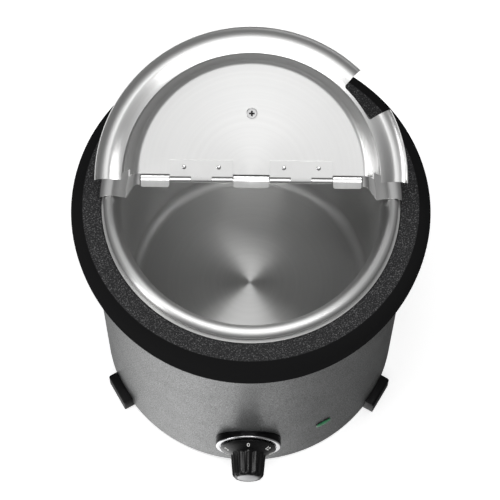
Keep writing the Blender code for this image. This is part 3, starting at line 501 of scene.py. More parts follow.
def spun_steel(name, colour, disc, edge, anisotropy, mark, edge_from=1.0, axis=(0, 0, 1), centre=(0, 0, 0)):
    """Steel brushed in rings round an axis. Past a radius its roughness goes from the disc's to the edge's.

    The tangent is radial: the shader stretches a highlight along it, so across the brush marks.
    """
    finish = Finish(name, colour, disc, 1.0, Anisotropic=anisotropy)
    offset = finish.vector("SUBTRACT", finish.place, tuple(centre))
    height = finish.vector("DOT_PRODUCT", offset, tuple(axis))
    across = finish.vector("SUBTRACT", offset, finish.scaled(tuple(axis), height))
    radius = finish.vector("LENGTH", across)
    finish.tangent(finish.vector("NORMALIZE", across))
    drift = finish.noise(finish.place, 9.0, 1.0)
    along = finish.sum("ADD", finish.sum("SUBTRACT", radius, height), finish.sum("MULTIPLY", drift, 0.002))
    fine = finish.lines(along, 2600.0, 4.0)
    broad = finish.lines(along, 260.0, 2.0)
    finish.bump(finish.sum("MULTIPLY_ADD", broad, 0.15, fine), mark)
    cloud = finish.sum("MULTIPLY_ADD", finish.noise(finish.place, 40.0, 2.0), 0.4, broad)
    finish.colour(finish.blend(finish.between(cloud, 0.4, 1.0), [0.965 * value for value in colour], colour))
    past = finish.between(radius, edge_from, edge_from + 0.004)
    finish.rough(finish.sum("MULTIPLY_ADD", broad, 0.04, finish.between(past, 0.0, 1.0, disc, edge)))
    return finish.material


def straight_steel(name, colour, roughness):
    """Rolled steel with its grain along X."""
    finish = Finish(name, colour, roughness, 1.0, Anisotropic=0.5)
    finish.tangent((0.0, 1.0, 0.0))
    stretched = finish.vector("MULTIPLY", finish.place, (30.0, 1800.0, 1800.0))
    grain = finish.noise(stretched, 1.0, 3.0)
    cloud = finish.noise(finish.place, 60.0, 2.0)
    finish.bump(grain, 0.000006)
    finish.colour(finish.blend(cloud, [0.9 * value for value in colour], colour))
    finish.rough(finish.sum("MULTIPLY_ADD", grain, 0.12, roughness - 0.06))
    return finish.material


def plated(name, colour, roughness, axis=None, seat=None):
    """Zinc or nickel plating, faintly clouded. Given a screw's axis and seat, the screw's recess is painted
    dark as painted shade.
    """
    finish = Finish(name, colour, roughness, 1.0)
    cloud = finish.noise(finish.place, 220.0, 4.0, 0.6)
    finish.bump(finish.noise(finish.place, 3000.0), 0.00001)
    tone = finish.blend(cloud, [0.8 * value for value in colour], colour)
    if axis:
        from_seat = finish.vector("SUBTRACT", finish.place, tuple(seat))
        height = finish.vector("DOT_PRODUCT", from_seat, tuple(axis))
        # Painted shade: from partway into the cross recess towards the shank, the screw's colour goes
        # near-black.
        deep = finish.between(height, -0.5 * SCREW_HEAD_HEIGHT, -0.3 * SCREW_HEAD_HEIGHT)
        tone = finish.mixed(deep, tone, (0.02, 0.02, 0.02, 1.0))
    finish.colour(tone)
    finish.rough(finish.between(cloud, 0.3, 0.7, roughness - 0.06, roughness + 0.08))
    return finish.material


def bezel_metal():
    """Plated dish, bright on its face and front edge. Round its side it is painted near-black as painted
    shade, for the knob's shadow and dark reflection that fall there.
    """
    finish = Finish("bezel_metal", (0.55, 0.55, 0.56), 0.2, 1.0)
    forward = finish.vector("DOT_PRODUCT", finish.place, (0.0, -1.0, 0.0))
    height = finish.sum("SUBTRACT", forward, SHELL_RADIUS)
    # Painted shade: behind the front edge the dish's colour goes near-black, for the knob's shadow and
    # reflection on its side.
    front = finish.between(height, BEZEL_FRONT - 0.0016, BEZEL_FRONT - 0.0008)
    finish.colour(finish.blend(front, (0.02, 0.02, 0.021), (0.60, 0.60, 0.61)))
    grain = finish.noise(finish.place, 1800.0, 2.0)
    finish.bump(grain, 0.000003)
    finish.rough(finish.between(grain, 0.3, 0.7, 0.16, 0.24))
    return finish.material


def hammer_paint():
    """Silver-grey structured paint: fine grains of light and dark metallic with a dimpled skin."""
    finish = Finish("hammer_paint", (0.12, 0.122, 0.122), 0.32, 0.55, Specular_IOR_Level=0.3)
    grains = finish.noise(finish.place, 1050.0, 3.0, 0.62)
    dimples = finish.cells(finish.place, 620.0)
    cloud = finish.noise(finish.place, 38.0, 2.0)
    speck = finish.between(finish.sum("MULTIPLY_ADD", cloud, 0.12, grains), 0.42, 0.72)
    finish.colour(finish.blend(speck, (0.05, 0.051, 0.051), (0.20, 0.204, 0.204)))
    finish.rough(finish.between(grains, 0.35, 0.65, 0.42, 0.28))
    finish.bump(finish.sum("MULTIPLY_ADD", dimples, 0.8, grains), 0.00014, 0.7)
    return finish.material


def collar_plastic():
    """Black moulding: leather grain on the top face, polished round its edge and grained again below. On the
    grained faces the grain's peaks are painted light grey. This is partly the grain's own lighter tone and
    partly painted sheen from the light above.
    """
    finish = Finish("collar_plastic", (0.006, 0.006, 0.0062), 0.4, Specular_IOR_Level=0.0)
    flat = finish.vector("MULTIPLY", finish.place, (1.0, 1.0, 0.0))
    radius = finish.vector("LENGTH", flat)
    grained = finish.between(radius, GRAIN_EDGE - 0.0006, GRAIN_EDGE + 0.0006, 1.0, 0.0)
    pebbles = finish.cells(finish.place, 560.0)
    fine = finish.noise(finish.place, 900.0, 3.0, 0.6)
    height = finish.sum("MULTIPLY_ADD", pebbles, 1.1, fine)
    finish.bump(finish.sum("MULTIPLY", height, grained), 0.0006)
    # Painted sheen: the grain's peaks are painted light grey for the sheen of the overhead light, partly also
    # the grain's own lighter tone.
    painted_sheen_peaks = finish.sum("MULTIPLY", finish.between(fine, 0.5, 0.75), grained)
    leather = finish.blend(painted_sheen_peaks, (0.030, 0.030, 0.031), (0.19, 0.19, 0.192))
    finish.colour(finish.mixed(grained, (0.010, 0.010, 0.0103, 1.0), leather))
    finish.rough(finish.between(grained, 0.0, 1.0, 0.27, 0.44))
    return finish.material


def moulded(name, colour, roughness, grain=0.00002, scale=1400.0, gloss=0.25):
    """Moulded plastic with a faint orange-peel and slightly varying gloss."""
    finish = Finish(name, colour, roughness, Specular_IOR_Level=gloss)
    peel = finish.noise(finish.place, scale, 2.0)
    cloud = finish.noise(finish.place, 70.0, 2.0)
    finish.bump(peel, grain)
    finish.colour(finish.blend(cloud, [0.85 * value for value in colour], [1.15 * value for value in colour]))
    finish.rough(finish.between(cloud, 0.3, 0.7, roughness - 0.04, roughness + 0.05))
    return finish.material


def lamp_glass():
    """Green lens, its moulded ribs seen through a smooth skin, with a black edge all round."""
    finish = Finish("lamp_green", (0.008, 0.10, 0.035), 0.14, Specular_IOR_Level=0.3)
    ribs = finish.noise(finish.vector("MULTIPLY", finish.place, (900.0, 900.0, 60.0)), 1.0, 1.0)
    level = finish.vector("MULTIPLY", finish.place, (1.0, 1.0, 0.0))
    height = finish.sum("SUBTRACT", finish.vector("LENGTH", level), SHELL_RADIUS)
    lit = finish.between(height, 0.45 * LAMP_PROUD, 0.75 * LAMP_PROUD)
    green = finish.blend(ribs, (0.003, 0.06, 0.022), (0.012, 0.21, 0.075))
    finish.colour(finish.mixed(lit, (0.003, 0.004, 0.0035, 1.0), green))
    finish.bump(ribs, 0.00004)
    return finish.material


def make_finishes():
    """Every finish, by the name that the builders know it by."""
    flap_axis = FLAP_PLACE.to_3x3() @ Vector((0.0, 0.0, 1.0))
    flap_centre = FLAP_PLACE @ Vector((0.0, -HINGE_Y, 0.0))
    lid = (0.80, 0.80, 0.795)
    lid_edge = LID_FOLD_RADIUS - 0.012
    return {
        "pot": spun_steel("pot_steel", (0.70, 0.70, 0.695), 0.31, 0.36, 0.82, 0.000012, POT_RADIUS + 0.003),
        "well": spun_steel("well_steel", (0.58, 0.58, 0.575), 0.38, 0.30, 0.4, 0.000008),
        "rear": spun_steel("lid_steel_rear", lid, 0.28, 0.27, 0.45, 0.0000015, lid_edge),
        "flap": spun_steel("lid_steel_flap", lid, 0.32, 0.27, 0.45, 0.0000015, lid_edge, flap_axis,
                           flap_centre),
        "hinge": straight_steel("hinge_steel", (0.72, 0.72, 0.715), 0.30),
        "pin": straight_steel("hinge_pin_steel", (0.70, 0.70, 0.70), 0.2),
        "zinc": plated("zinc_plate", (0.62, 0.63, 0.64), 0.34),
        "sheet": plated("galvanised_sheet", (0.50, 0.51, 0.52), 0.42),
        "paint": hammer_paint(),
        "collar": collar_plastic(),
        "foot": moulded("foot_plastic", (0.004, 0.004, 0.0042), 0.45, gloss=0.1),
        "grip": moulded("grip_plastic", (0.004, 0.004, 0.0042), 0.26, 0.000012),
        "knob": moulded("lid_knob_plastic", (0.006, 0.006, 0.0062), 0.26, 0.00001),
        "nylon": moulded("nylon", (0.02, 0.02, 0.02), 0.5),
        "phenolic": moulded("phenolic", (0.05, 0.04, 0.035), 0.55, 0.00003),
        "ceramic": moulded("terminal_ceramic", (0.72, 0.71, 0.67), 0.45, 0.00002, 900.0),
        "numbers": moulded("scale_white", (0.82, 0.82, 0.80), 0.45, 0.000004),
        "bezel": bezel_metal(),
        "cap": spun_steel("cap_metal", (0.34, 0.34, 0.345), 0.36, 0.36, 0.3, 0.000004, axis=(0, -1, 0),
                          centre=(0, 0, CONTROL_Z)),
        "screw": plated("lid_screw_plate", (0.66, 0.66, 0.66), 0.3, flap_axis, FLAP_PLACE @ LID_SCREW_SEAT),
        "heater": plated("heater_sheath", (0.20, 0.19, 0.18), 0.46),
        "lamp": lamp_glass(),
    }


# Housing.
def build_pot(finishes):
    curl = RIM_HEIGHT - RIM_DROP
    corner = (POT_RADIUS - POT_FILLET, POT_LOW.z + POT_SHEET + POT_FILLET)
    path = [(0.0, POT_LOW.z + POT_SHEET), (0.6 * POT_RADIUS, POT_LOW.z + POT_SHEET)]
    path += arc(corner, POT_FILLET, -90, 0, 12)
    flare = [
        (POT_RADIUS, RIM_Z - 1.6 * FLARE_DEPTH),
        (POT_RADIUS, RIM_Z - FLARE_DEPTH),
        (0.54 * POT_RADIUS + 0.46 * RIM_INNER, RIM_Z - 0.46 * FLARE_DEPTH),
        (RIM_INNER, RIM_Z - 0.0016),
        (RIDGE_RADIUS, RIM_Z),
        (0.5 * (RIDGE_RADIUS + RIM_RADIUS), RIM_Z - 0.0004),
    ]
    path += soften(flare, 2)[:-1]
    path += arc((RIM_RADIUS - curl, RIM_Z - RIM_DROP), curl, 72, -102, 26)
    bm = revolve(thicken(path, POT_SHEET))
    piece("pot_inset", bm, finishes["pot"], "pot", ["soup_pot"])


def build_well(finishes):
    floor = WELL_LOW.z + WELL_SHEET
    path = [(0.0, floor), (0.6 * WELL_RADIUS, floor)]
    path += arc((WELL_RADIUS - WELL_FILLET, floor + WELL_FILLET), WELL_FILLET, -90, 0, 8)
    path += arc((WELL_RADIUS + WELL_BEND, WELL_HIGH.z - WELL_BEND), WELL_BEND, 180, 90, 4)
    path += [(WELL_HIGH.x, WELL_HIGH.z)]
    bm = revolve(thicken(path, WELL_SHEET))
    piece("water_pan", bm, finishes["well"], "housing", ["water_well"])


def ring_side(inset, steps):
    """Side of the collar from its lower edge up, curving out to its widest plane."""
    wide = RING_HIGH.z - RING_NOSE
    for step in range(steps):
        down = 1 - step / steps
        yield RING_HIGH.x - inset - RING_LEAN * down ** 2, wide - down * (wide - RING_LOW.z)


def build_collar(finishes):
    low = RING_LOW.z
    top = RING_HIGH.z
    wide = top - RING_NOSE
    ledge = WELL_HIGH.z - WELL_SHEET - SEAT_GAP
    ledge_inner = WELL_RADIUS + WELL_SHEET + 2 * SEAT_GAP
    shell_side = SHELL_RADIUS + SEAT_GAP
    side = list(ring_side(0.0, 12))
    round_centre = (side[0][0] - RING_CHAMFER, low + RING_CHAMFER)
    outline = [(shell_side, low)] + arc(round_centre, RING_CHAMFER, -90, 0, 4) + side[1:]
    nose_x = RING_HIGH.x - RING_TOP_ROUND
    for step in range(13):
        angle = math.pi / 2 * step / 12
        outline.append((nose_x + RING_TOP_ROUND * math.cos(angle), wide + RING_NOSE * math.sin(angle)))
    outline += [(0.5 * (nose_x + BORE_RADIUS), top)]
    outline += arc((BORE_RADIUS + RING_CHAMFER, top - RING_CHAMFER), RING_CHAMFER, 90, 180, 4)
    outline += [(BORE_RADIUS, ledge), (ledge_inner, ledge), (ledge_inner, ledge - RING_WALL)]
    outline += [(BORE_RADIUS + RING_WALL, ledge - RING_WALL), (BORE_RADIUS + RING_WALL, top - RING_WALL)]
    outline += [(nose_x, top - RING_WALL), (RING_HIGH.x - RING_WALL - RING_CHAMFER, wide)]
    inner = list(ring_side(RING_WALL, 4))
    inner[0] = (inner[0][0], low + RING_WALL)
    outline += inner[::-1] + [(shell_side, low + RING_WALL)]
    piece("collar", revolve(outline), finishes["collar"], "housing", ["collar_ring"])


def build_shell(finishes):
    top = SHELL_HIGH.z
    outline = [
        (SHELL_RADIUS, SHELL_LOW.z),
        (SHELL_RADIUS, top),
        (SHELL_INNER, top),
        (SHELL_INNER, FLANGE_Z + SHELL_SHEET),
        (SHELL_INNER - SHELL_FLANGE, FLANGE_Z + SHELL_SHEET),
        (SHELL_INNER - SHELL_FLANGE, FLANGE_Z),
        (SHELL_INNER, FLANGE_Z),
        (SHELL_INNER, SHELL_LOW.z),
    ]
    shaft = moved(rod(SHAFT_HOLE_RADIUS, -THROUGH, THROUGH, SMALL_STEPS), DIAL_PLACE)
    lamp_low, lamp_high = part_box("pilot_lamp_body")
    half = 0.3 * (lamp_high.z - lamp_low.z) + HOLE_CLEARANCE + 0.002
    lamp = moved(block((-LAMP_HOLE_HALF, -half, -THROUGH), (LAMP_HOLE_HALF, half, THROUGH)),
                 out_of_shell(LAMP_AZIMUTH, LAMP_Z))
    gland_low, gland_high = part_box("cable_gland")
    gland_z = 0.5 * (gland_low.z + gland_high.z)
    gland = moved(rod(GLAND_HOLE_RADIUS, -THROUGH, THROUGH, SMALL_STEPS),
                  out_of_shell(GLAND_AZIMUTH, gland_z))
    bm = cut(revolve(outline), shaft, lamp, gland)
    piece("casing", bm, finishes["paint"], "housing", ["body_shell"])


def build_feet(finishes):
    outer = SHELL_RADIUS + FOOT_PROUD
    inner = SHELL_RADIUS + SEAT_GAP
    section = [
        (SHELL_RADIUS - FOOT_UNDER, FOOT_LOW.z),
        (outer, FOOT_LOW.z),
        (outer, FOOT_HIGH.z - FOOT_CHAMFER),
        (outer - FOOT_CHAMFER, FOOT_HIGH.z),
        (inner - FOOT_LAP, FOOT_HIGH.z),
        (inner - FOOT_LAP, -SEAT_GAP),
        (SHELL_RADIUS - FOOT_UNDER, -SEAT_GAP),
    ]
    screw_low, screw_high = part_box("foot_screw_2")
    screw_y = -abs(0.5 * (screw_low.y + screw_high.y))
    hole = 0.5 * (screw_high.x - screw_low.x) + HOLE_CLEARANCE
    for index, azimuth in enumerate(FOOT_AZIMUTHS):
        bm = across_x([(-r, z) for r, z in section], -FOOT_WIDTH / 2, FOOT_WIDTH / 2)
        round_edges(bm, bm.edges[:], FOOT_ROUND, 2)
        shell = rod(inner, -SEAT_GAP, FOOT_HIGH.z + THROUGH, RING_STEPS)
        recess = rod(hole, FOOT_LOW.z - THROUGH, FOOT_LOW.z + FOOT_SCREW_DEPTH, SMALL_STEPS)
        shank = rod(SCREW_HOLE_RADIUS, FOOT_LOW.z, THROUGH, SMALL_STEPS)
        bm = cut(bm, shell, shifted(recess, y=screw_y), shifted(shank, y=screw_y))
        bm = moved(bm, Matrix.Rotation(math.radians(azimuth), 4, "Z"))
        piece(f"foot_block_{index + 1}", bm, finishes["foot"], "housing",
              [f"foot_{index + 1}"])


def screw(head, length):
    """Pan-headed screw pointing up, its head below Z = 0 with a cross recess."""
    height = SCREW_HEAD_HEIGHT
    outline = [(0.0, -height)] + arc((0.55 * head, -0.45 * height), 0.45 * head, -68, 0, 7)
    outline = [(x, max(z, -height)) for x, z in outline]
    outline += [(head, 0.0), (SCREW_SHANK_RADIUS, 0.0), (SCREW_SHANK_RADIUS, length), (0.0, length)]
    bm = revolve(outline, SMALL_STEPS)
    reach = 0.52 * head
    arms = ((reach, SCREW_SLOT_HALF), (SCREW_SLOT_HALF, reach))
    return cut(bm, *[block((-x, -y, -2 * height), (x, y, -0.1 * height)) for x, y in arms])


def build_base_screws(finishes):
    for name in [f"{part}_screw_{number}" for part in ("base", "foot") for number in (1, 2, 3)]:
        low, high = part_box(name)
        seat = low.z + SCREW_HEAD_HEIGHT
        bm = screw(0.5 * (high.x - low.x), high.z - seat)
        bm = shifted(bm, 0.5 * (low.x + high.x), 0.5 * (low.y + high.y), seat)
        piece(f"cross_{name}", bm, finishes["zinc"], "housing", [name])


# Controls.
def build_bezel(finishes):
    outline = [(0.0, -THROUGH), (BEZEL_RADIUS, -THROUGH)]
    outline += arc((BEZEL_RADIUS - BEZEL_EDGE, BEZEL_FRONT - BEZEL_EDGE), BEZEL_EDGE, 0, 90, 6)
    outline += [(SKIRT_RADIUS + 0.001, BEZEL_FRONT), (SKIRT_RADIUS + 0.0004, BEZEL_FRONT - 0.0004)]
    outline += [(0.0, BEZEL_FRONT - 0.0004)]
    hole = rod(SHAFT_HOLE_RADIUS, -2 * THROUGH, 2 * THROUGH, SMALL_STEPS)
    bm = moved(cut(revolve(outline, 96), hole), DIAL_PLACE)
    bm = cut(bm, rod(SHELL_RADIUS + SEAT_GAP, 0.0, 2 * CONTROL_Z, RING_STEPS))
    piece("bezel_dish", bm, finishes["bezel"], "housing", ["dial_bezel"])


def lobed(rings, steps):
    """Turned solid with rings of (height, radius, depth of the grooves between its lobes)."""
    bm = bmesh.new()
    loops = []
    for height, radius, depth in rings:
        made = bmesh.ops.create_circle(bm, cap_ends=False, segments=steps, radius=1.0)["verts"]
        for vert in made:
            swing = math.cos(GRIP_LOBES * math.atan2(vert.co.y, vert.co.x))
            reach = radius - depth * 0.5 * (1.0 - swing)
            vert.co = (reach * vert.co.x, reach * vert.co.y, height)
        loops.append(list({edge for vert in made for edge in vert.link_edges}))
    for low, high in zip(loops, loops[1:]):
        bmesh.ops.bridge_loops(bm, edges=low + high)
    for end in (loops[0], loops[-1]):
        bmesh.ops.contextual_create(bm, geom=end)
    bmesh.ops.recalc_face_normals(bm, faces=bm.faces)
    return bm


def build_knob(finishes):
    tip_radius = GRIP_RADIUS - GRIP_TAPER
    cone_z = SKIRT_Z + SKIRT_EDGE
    rings = [(SKIRT_Z, SKIRT_RADIUS - 0.0004, 0.0), (SKIRT_Z + 0.0003, SKIRT_RADIUS, 0.0)]
    rings += [(cone_z - 0.0003, SKIRT_RADIUS, 0.0), (cone_z, SKIRT_RADIUS - 0.0004, 0.0)]
    for step in range(1, 6):
        along = step / 6
        radius = SKIRT_RADIUS + (GRIP_RADIUS - SKIRT_RADIUS) * along
        rings.append((cone_z + SKIRT_RISE * along, radius, 0.0))
    rings += [(GRIP_Z, GRIP_RADIUS, 0.0), (GRIP_Z + 0.0006, GRIP_RADIUS - 0.0001, 0.4 * LOBE_DEPTH)]
    rings += [(GRIP_Z + 0.0016, GRIP_RADIUS - 0.0002, LOBE_DEPTH)]
    rings += [(TIP_Z - 0.0040, tip_radius, LOBE_DEPTH)]
    rings += [(TIP_Z - 0.0022, tip_radius - 0.0006, 0.8 * LOBE_DEPTH)]
    rings += [(TIP_Z - 0.0008, tip_radius - 0.0018, 0.4 * LOBE_DEPTH), (TIP_Z, tip_radius - 0.0036, 0.0)]
    recess = rod(CAP_RADIUS + HOLE_CLEARANCE, TIP_Z - CAP_THICKNESS - SEAT_GAP, TIP_Z + THROUGH)
    bore = rod(KNOB_BORE_RADIUS, 0.0, SKIRT_Z + KNOB_BORE_DEPTH, SMALL_STEPS)
    bm = moved(cut(lobed(rings, 16 * GRIP_LOBES), recess, bore), DIAL_PLACE)
    piece("dial_knob", bm, finishes["grip"], "dial", ["control_knob"], sharp=40)

    low = TIP_Z - CAP_THICKNESS
    cap = [(0.0, low), (CAP_RADIUS, low), (CAP_RADIUS, TIP_Z - 0.0003), (CAP_RADIUS - 0.0004, TIP_Z)]
    for step in range(1, 9):
        along = step / 8
        cap.append(((CAP_RADIUS - 0.0004) * (1 - along), TIP_Z + CAP_DOME * (1 - (1 - along) ** 2)))
    bm = moved(revolve(cap), DIAL_PLACE)
    piece("cap_disc", bm, finishes["cap"], "dial", ["knob_cap"])


def number_solid(text):
    """One scale number as a thin solid, centred at the origin and standing up along +Y."""
    curve = bpy.data.curves.new("number", "FONT")
    curve.body = text
    curve.size = SCALE_SIZE
    curve.align_x = "CENTER"
    curve.align_y = "CENTER"
    curve.offset = SCALE_BOLD
    curve.extrude = SCALE_INK
    made = bpy.data.objects.new("number", curve)
    bpy.context.collection.objects.link(made)
    bpy.context.view_layer.update()
    evaluated = made.evaluated_get(bpy.context.evaluated_depsgraph_get())
    bm = bmesh.new()
    bm.from_mesh(evaluated.to_mesh())
    evaluated.to_mesh_clear()
    bpy.data.objects.remove(made)
    bpy.data.curves.remove(curve)
    bmesh.ops.remove_doubles(bm, verts=bm.verts, dist=1e-7)
    bmesh.ops.recalc_face_normals(bm, faces=bm.faces)
    return bm


def build_numbers(finishes):
    """Numbers printed round the skirt's cone, their tops outwards and rising against the clock."""
    slope = math.atan2(SKIRT_RISE, SKIRT_RADIUS - GRIP_RADIUS)
    along = (SKIRT_RADIUS - SCALE_RADIUS) / (SKIRT_RADIUS - GRIP_RADIUS)
    height = SKIRT_Z + SKIRT_EDGE + SKIRT_RISE * along
    for index in range(7):
        turn = SCALE_FIRST + SCALE_STEP * (index - 1) if index else 0.0
        place = Matrix.Rotation(turn, 4, "Z") @ Matrix.Translation((0.0, SCALE_RADIUS, height))
        bm = number_solid(str(2 * index))
        bm = moved(bm, DIAL_PLACE @ place @ Matrix.Rotation(-slope, 4, "X"))
        piece(f"scale_number_{2 * index}", bm, finishes["numbers"], "dial", [])


def build_lamp(finishes):
    """Turned dome, its round outline pushed out at the corners and then stretched to the lens's size."""
    outline = [(0.0, SEAT_GAP), (0.5, SEAT_GAP), (0.5, 0.35 * LAMP_PROUD)]
    for step in range(1, 11):
        angle = math.pi / 2 * step / 10
        outline.append((0.06 + 0.44 * math.cos(angle), LAMP_PROUD * (0.35 + 0.65 * math.sin(angle))))
    outline += [(0.0, LAMP_PROUD)]
    bm = revolve(outline, ROUND_STEPS)
    for vert in bm.verts:
        reach = math.hypot(vert.co.x, vert.co.y)
        if reach > 1e-6:
            x, y = abs(vert.co.x) / reach, abs(vert.co.y) / reach
            vert.co *= Vector([(x ** 3 + y ** 3) ** (-1 / 3)] * 2 + [1.0])
    bmesh.ops.scale(bm, vec=(LAMP_WIDTH, LAMP_TALL, 1.0), verts=bm.verts)
    bm = moved(bm, out_of_shell(LAMP_AZIMUTH, LAMP_Z))
    piece("lamp_dome", bm, finishes["lamp"], "housing", ["pilot_lamp_lens"])


# Lid.
def lid_section():
    """Section of the pressed lid round its own axis."""
    ridge = FOLD_Z + LID_RIDGE_RISE
    lean = math.tan(LID_DRAFT)
    swing = math.pi / 2 - LID_DRAFT
    centre = (wall_start(), DISC_Z - LID_SHOULDER)
    path = [(0.0, DISC_Z), (0.5 * wall_start(), DISC_Z)]
    path += arc(centre, LID_SHOULDER, 90, 90 - math.degrees(swing), 10)
    fold = [
        (LID_FOLD_RADIUS - lean * 0.0060, FOLD_Z + 0.0060),
        (LID_FOLD_RADIUS - lean * 0.0008 - 0.0002, FOLD_Z + 0.0012),
        (LID_FOLD_RADIUS + 0.0009, FOLD_Z),
        (0.5 * (LID_FOLD_RADIUS + RIDGE_RADIUS), FOLD_Z + 0.52 * LID_RIDGE_RISE),
        (RIDGE_RADIUS - 0.0022, ridge - 0.0003),
    ]
    span = LID_LIP_RADIUS - RIDGE_RADIUS
    fall = LID_RIDGE_RISE + LID_LIP_DROP
    steps = 12
    for step in range(steps + 1):
        angle = math.pi / 2 * step / steps
        fold.append((RIDGE_RADIUS + span * math.sin(angle), ridge - fall * (1 - math.cos(angle))))
    path += soften(fold, 1)
    return thicken(path, LID_SHEET)


def wall_start():
    """Radius at which the lid's flat disc ends and its shoulder begins."""
    top = LID_FOLD_RADIUS - math.tan(LID_DRAFT) * LID_RISE
    return top - LID_SHOULDER * math.tan((math.pi / 2 - LID_DRAFT) / 2)


def half_lid(keep_front, edge):
    """The lid in the hinge frame, cut straight across so that one half of it is left."""
    bm = shifted(revolve(lid_section()), y=-HINGE_Y)
    reach = 2 * LID_LIP_RADIUS
    low, high = (-edge, reach) if keep_front else (-reach, -edge)
    return bm, block((-reach, low, -0.1), (reach, high, 0.1))


def notch_solid():
    """Sector of the ladle notch, its inner corners rounded."""
    inner = LID_FOLD_RADIUS + NOTCH_FROM_FOLD
    outer = LID_LIP_RADIUS + THROUGH
    outline = arc((0.0, 0.0), inner, -math.degrees(NOTCH_START), -math.degrees(NOTCH_END), 10)
    outline += arc((0.0, 0.0), outer, -math.degrees(NOTCH_END), -math.degrees(NOTCH_START), 1)
    bm = shifted(prism(outline, 2 * THROUGH), z=FOLD_Z - THROUGH)
    corners = []
    for edge in bm.edges:
        a, b = (v.co for v in edge.verts)
        angle = -math.atan2(a.y, a.x)
        at_end = min(abs(angle - NOTCH_START), abs(angle - NOTCH_END)) < 1e-4
        if (a - b).to_2d().length < 1e-6 and at_end and a.to_2d().length < inner + 1e-4:
            corners.append(edge)
    return shifted(round_edges(bm, corners, NOTCH_CORNER, 6), y=-HINGE_Y)


def tab_solid(low, high):
    """Step-down ledge that the closed flap's edge lies over."""
    inset = 0.1 * LID_SHEET
    under = DISC_Z - LID_SHEET - TAB_DROP + SEAT_GAP
    path = [
        (REAR_STEP_BACK + 0.003, DISC_Z - inset),
        (REAR_STEP_BACK - 0.0012, DISC_Z - inset),
        (REAR_STEP_BACK - 0.0030, under),
        (-TAB_REACH, under),
    ]
    section = thicken([(-y, z) for y, z in soften(path, 1)], LID_SHEET - 2 * inset)
    bm = across_x([(-y, z) for y, z in section], low, high)
    ends = [edge for edge in bm.edges
            if all(abs(v.co.y + TAB_REACH) < 1e-6 for v in edge.verts)
            and abs(edge.verts[0].co.x - edge.verts[1].co.x) < 1e-6]
    return round_edges(bm, ends, TAB_CORNER, 5)


def build_flap(finishes):
    bm, waste = half_lid(True, FLAP_EDGE)
    outer = LID_FOLD_RADIUS + CUT_SLIP
    relief_top = DISC_Z - 0.45 * LID_RISE
    reliefs = []
    for side in (-1, 1):
        low, high = sorted((side * (outer - RELIEF_WIDTH), side * outer))
        reliefs.append(block((low, -FLAP_EDGE - WALL_RELIEF, FOLD_Z - 0.004), (high, 0.0, relief_top)))
    bm = moved(cut(bm, waste, notch_solid(), *reliefs), FLAP_PLACE)
    piece("lid_front_half", bm, finishes["flap"], "flap", ["lid_flap"], sharp=40)


def build_rear(finishes):
    bm, waste = half_lid(False, REAR_EDGE)
    edge = wall_start() + CUT_SLIP
    strip = block((-edge, -0.02, DISC_Z - 0.004), (edge, REAR_STEP_BACK, DISC_Z + 0.004))
    bm = cut(bm, waste, strip)
    inner = HINGE_OFFSET - LEAF_WIDTH / 2 - LEAF_WINDOW
    outer = HINGE_OFFSET + LEAF_WIDTH / 2 + LEAF_WINDOW
    spans = ((-edge + 0.001, -outer), (-inner, inner), (outer, edge - 0.001))
    bm = combined(bm, [tab_solid(*span) for span in spans], "UNION")
    bm = moved(bm, REAR_PLACE)
    piece("lid_back_half", bm, finishes["rear"], "lid_rear", ["lid_rear_half"], sharp=40)


# Hinges.
def leaf_solid(centre, sign):
    """Rolled leaf with its knuckles: sign is -1 on the flap and +1 on the rear half."""
    top = -BARREL_RADIUS + LEAF_SHEET
    end = math.degrees(math.asin(top / BARREL_RADIUS))
    outline = [(LEAF_REACH, top), (LEAF_REACH, -BARREL_RADIUS)]
    outline += arc((0.0, 0.0), BARREL_RADIUS, -90, end - 360, 36)
    bm = across_x([(sign * y, z) for y, z in outline], centre - LEAF_WIDTH / 2, centre + LEAF_WIDTH / 2)
    bmesh.ops.recalc_face_normals(bm, faces=bm.faces)
    inner = KNUCKLE_WIDTH / 2
    outer = LEAF_WIDTH / 2 + 0.002
    deep = 2 * BARREL_RADIUS
    low_y, high_y = sorted((-sign * deep, sign * LEAF_SETBACK))
    spans = [(-inner - KNUCKLE_GAP, inner + KNUCKLE_GAP)] if sign > 0 else [(-outer, -inner), (inner, outer)]
    tools = [block((centre + a, low_y, -deep), (centre + b, high_y, deep)) for a, b in spans]
    bore = moved(rod(PIN_RADIUS + 0.0002, -LEAF_WIDTH, LEAF_WIDTH, SMALL_STEPS),
                 Matrix.Translation((centre, 0, 0)) @ Matrix.Rotation(math.pi / 2, 4, "Y"))
    return cut(bm, bore, *tools)


def rivet_solid(x, y):
    """Rivet through the lid sheet and the leaf below it, domed on both sides."""
    top = DISC_Z + 0.5 * SEAT_GAP
    bottom = -BARREL_RADIUS - 0.5 * SEAT_GAP
    dome = [(RIVET_HEAD_RADIUS * math.cos(a), RIVET_HEAD_HEIGHT * math.sin(a))
            for a in (math.pi / 2 * step / 6 for step in range(7))]
    outline = [(r, bottom - z) for r, z in dome[::-1]] + [(RIVET_RADIUS, bottom), (RIVET_RADIUS, top)]
    outline += [(r, top + z) for r, z in dome]
    outline[0] = (0.0, outline[0][1])
    outline[-1] = (0.0, outline[-1][1])
    return shifted(revolve(outline, 24), x, y)


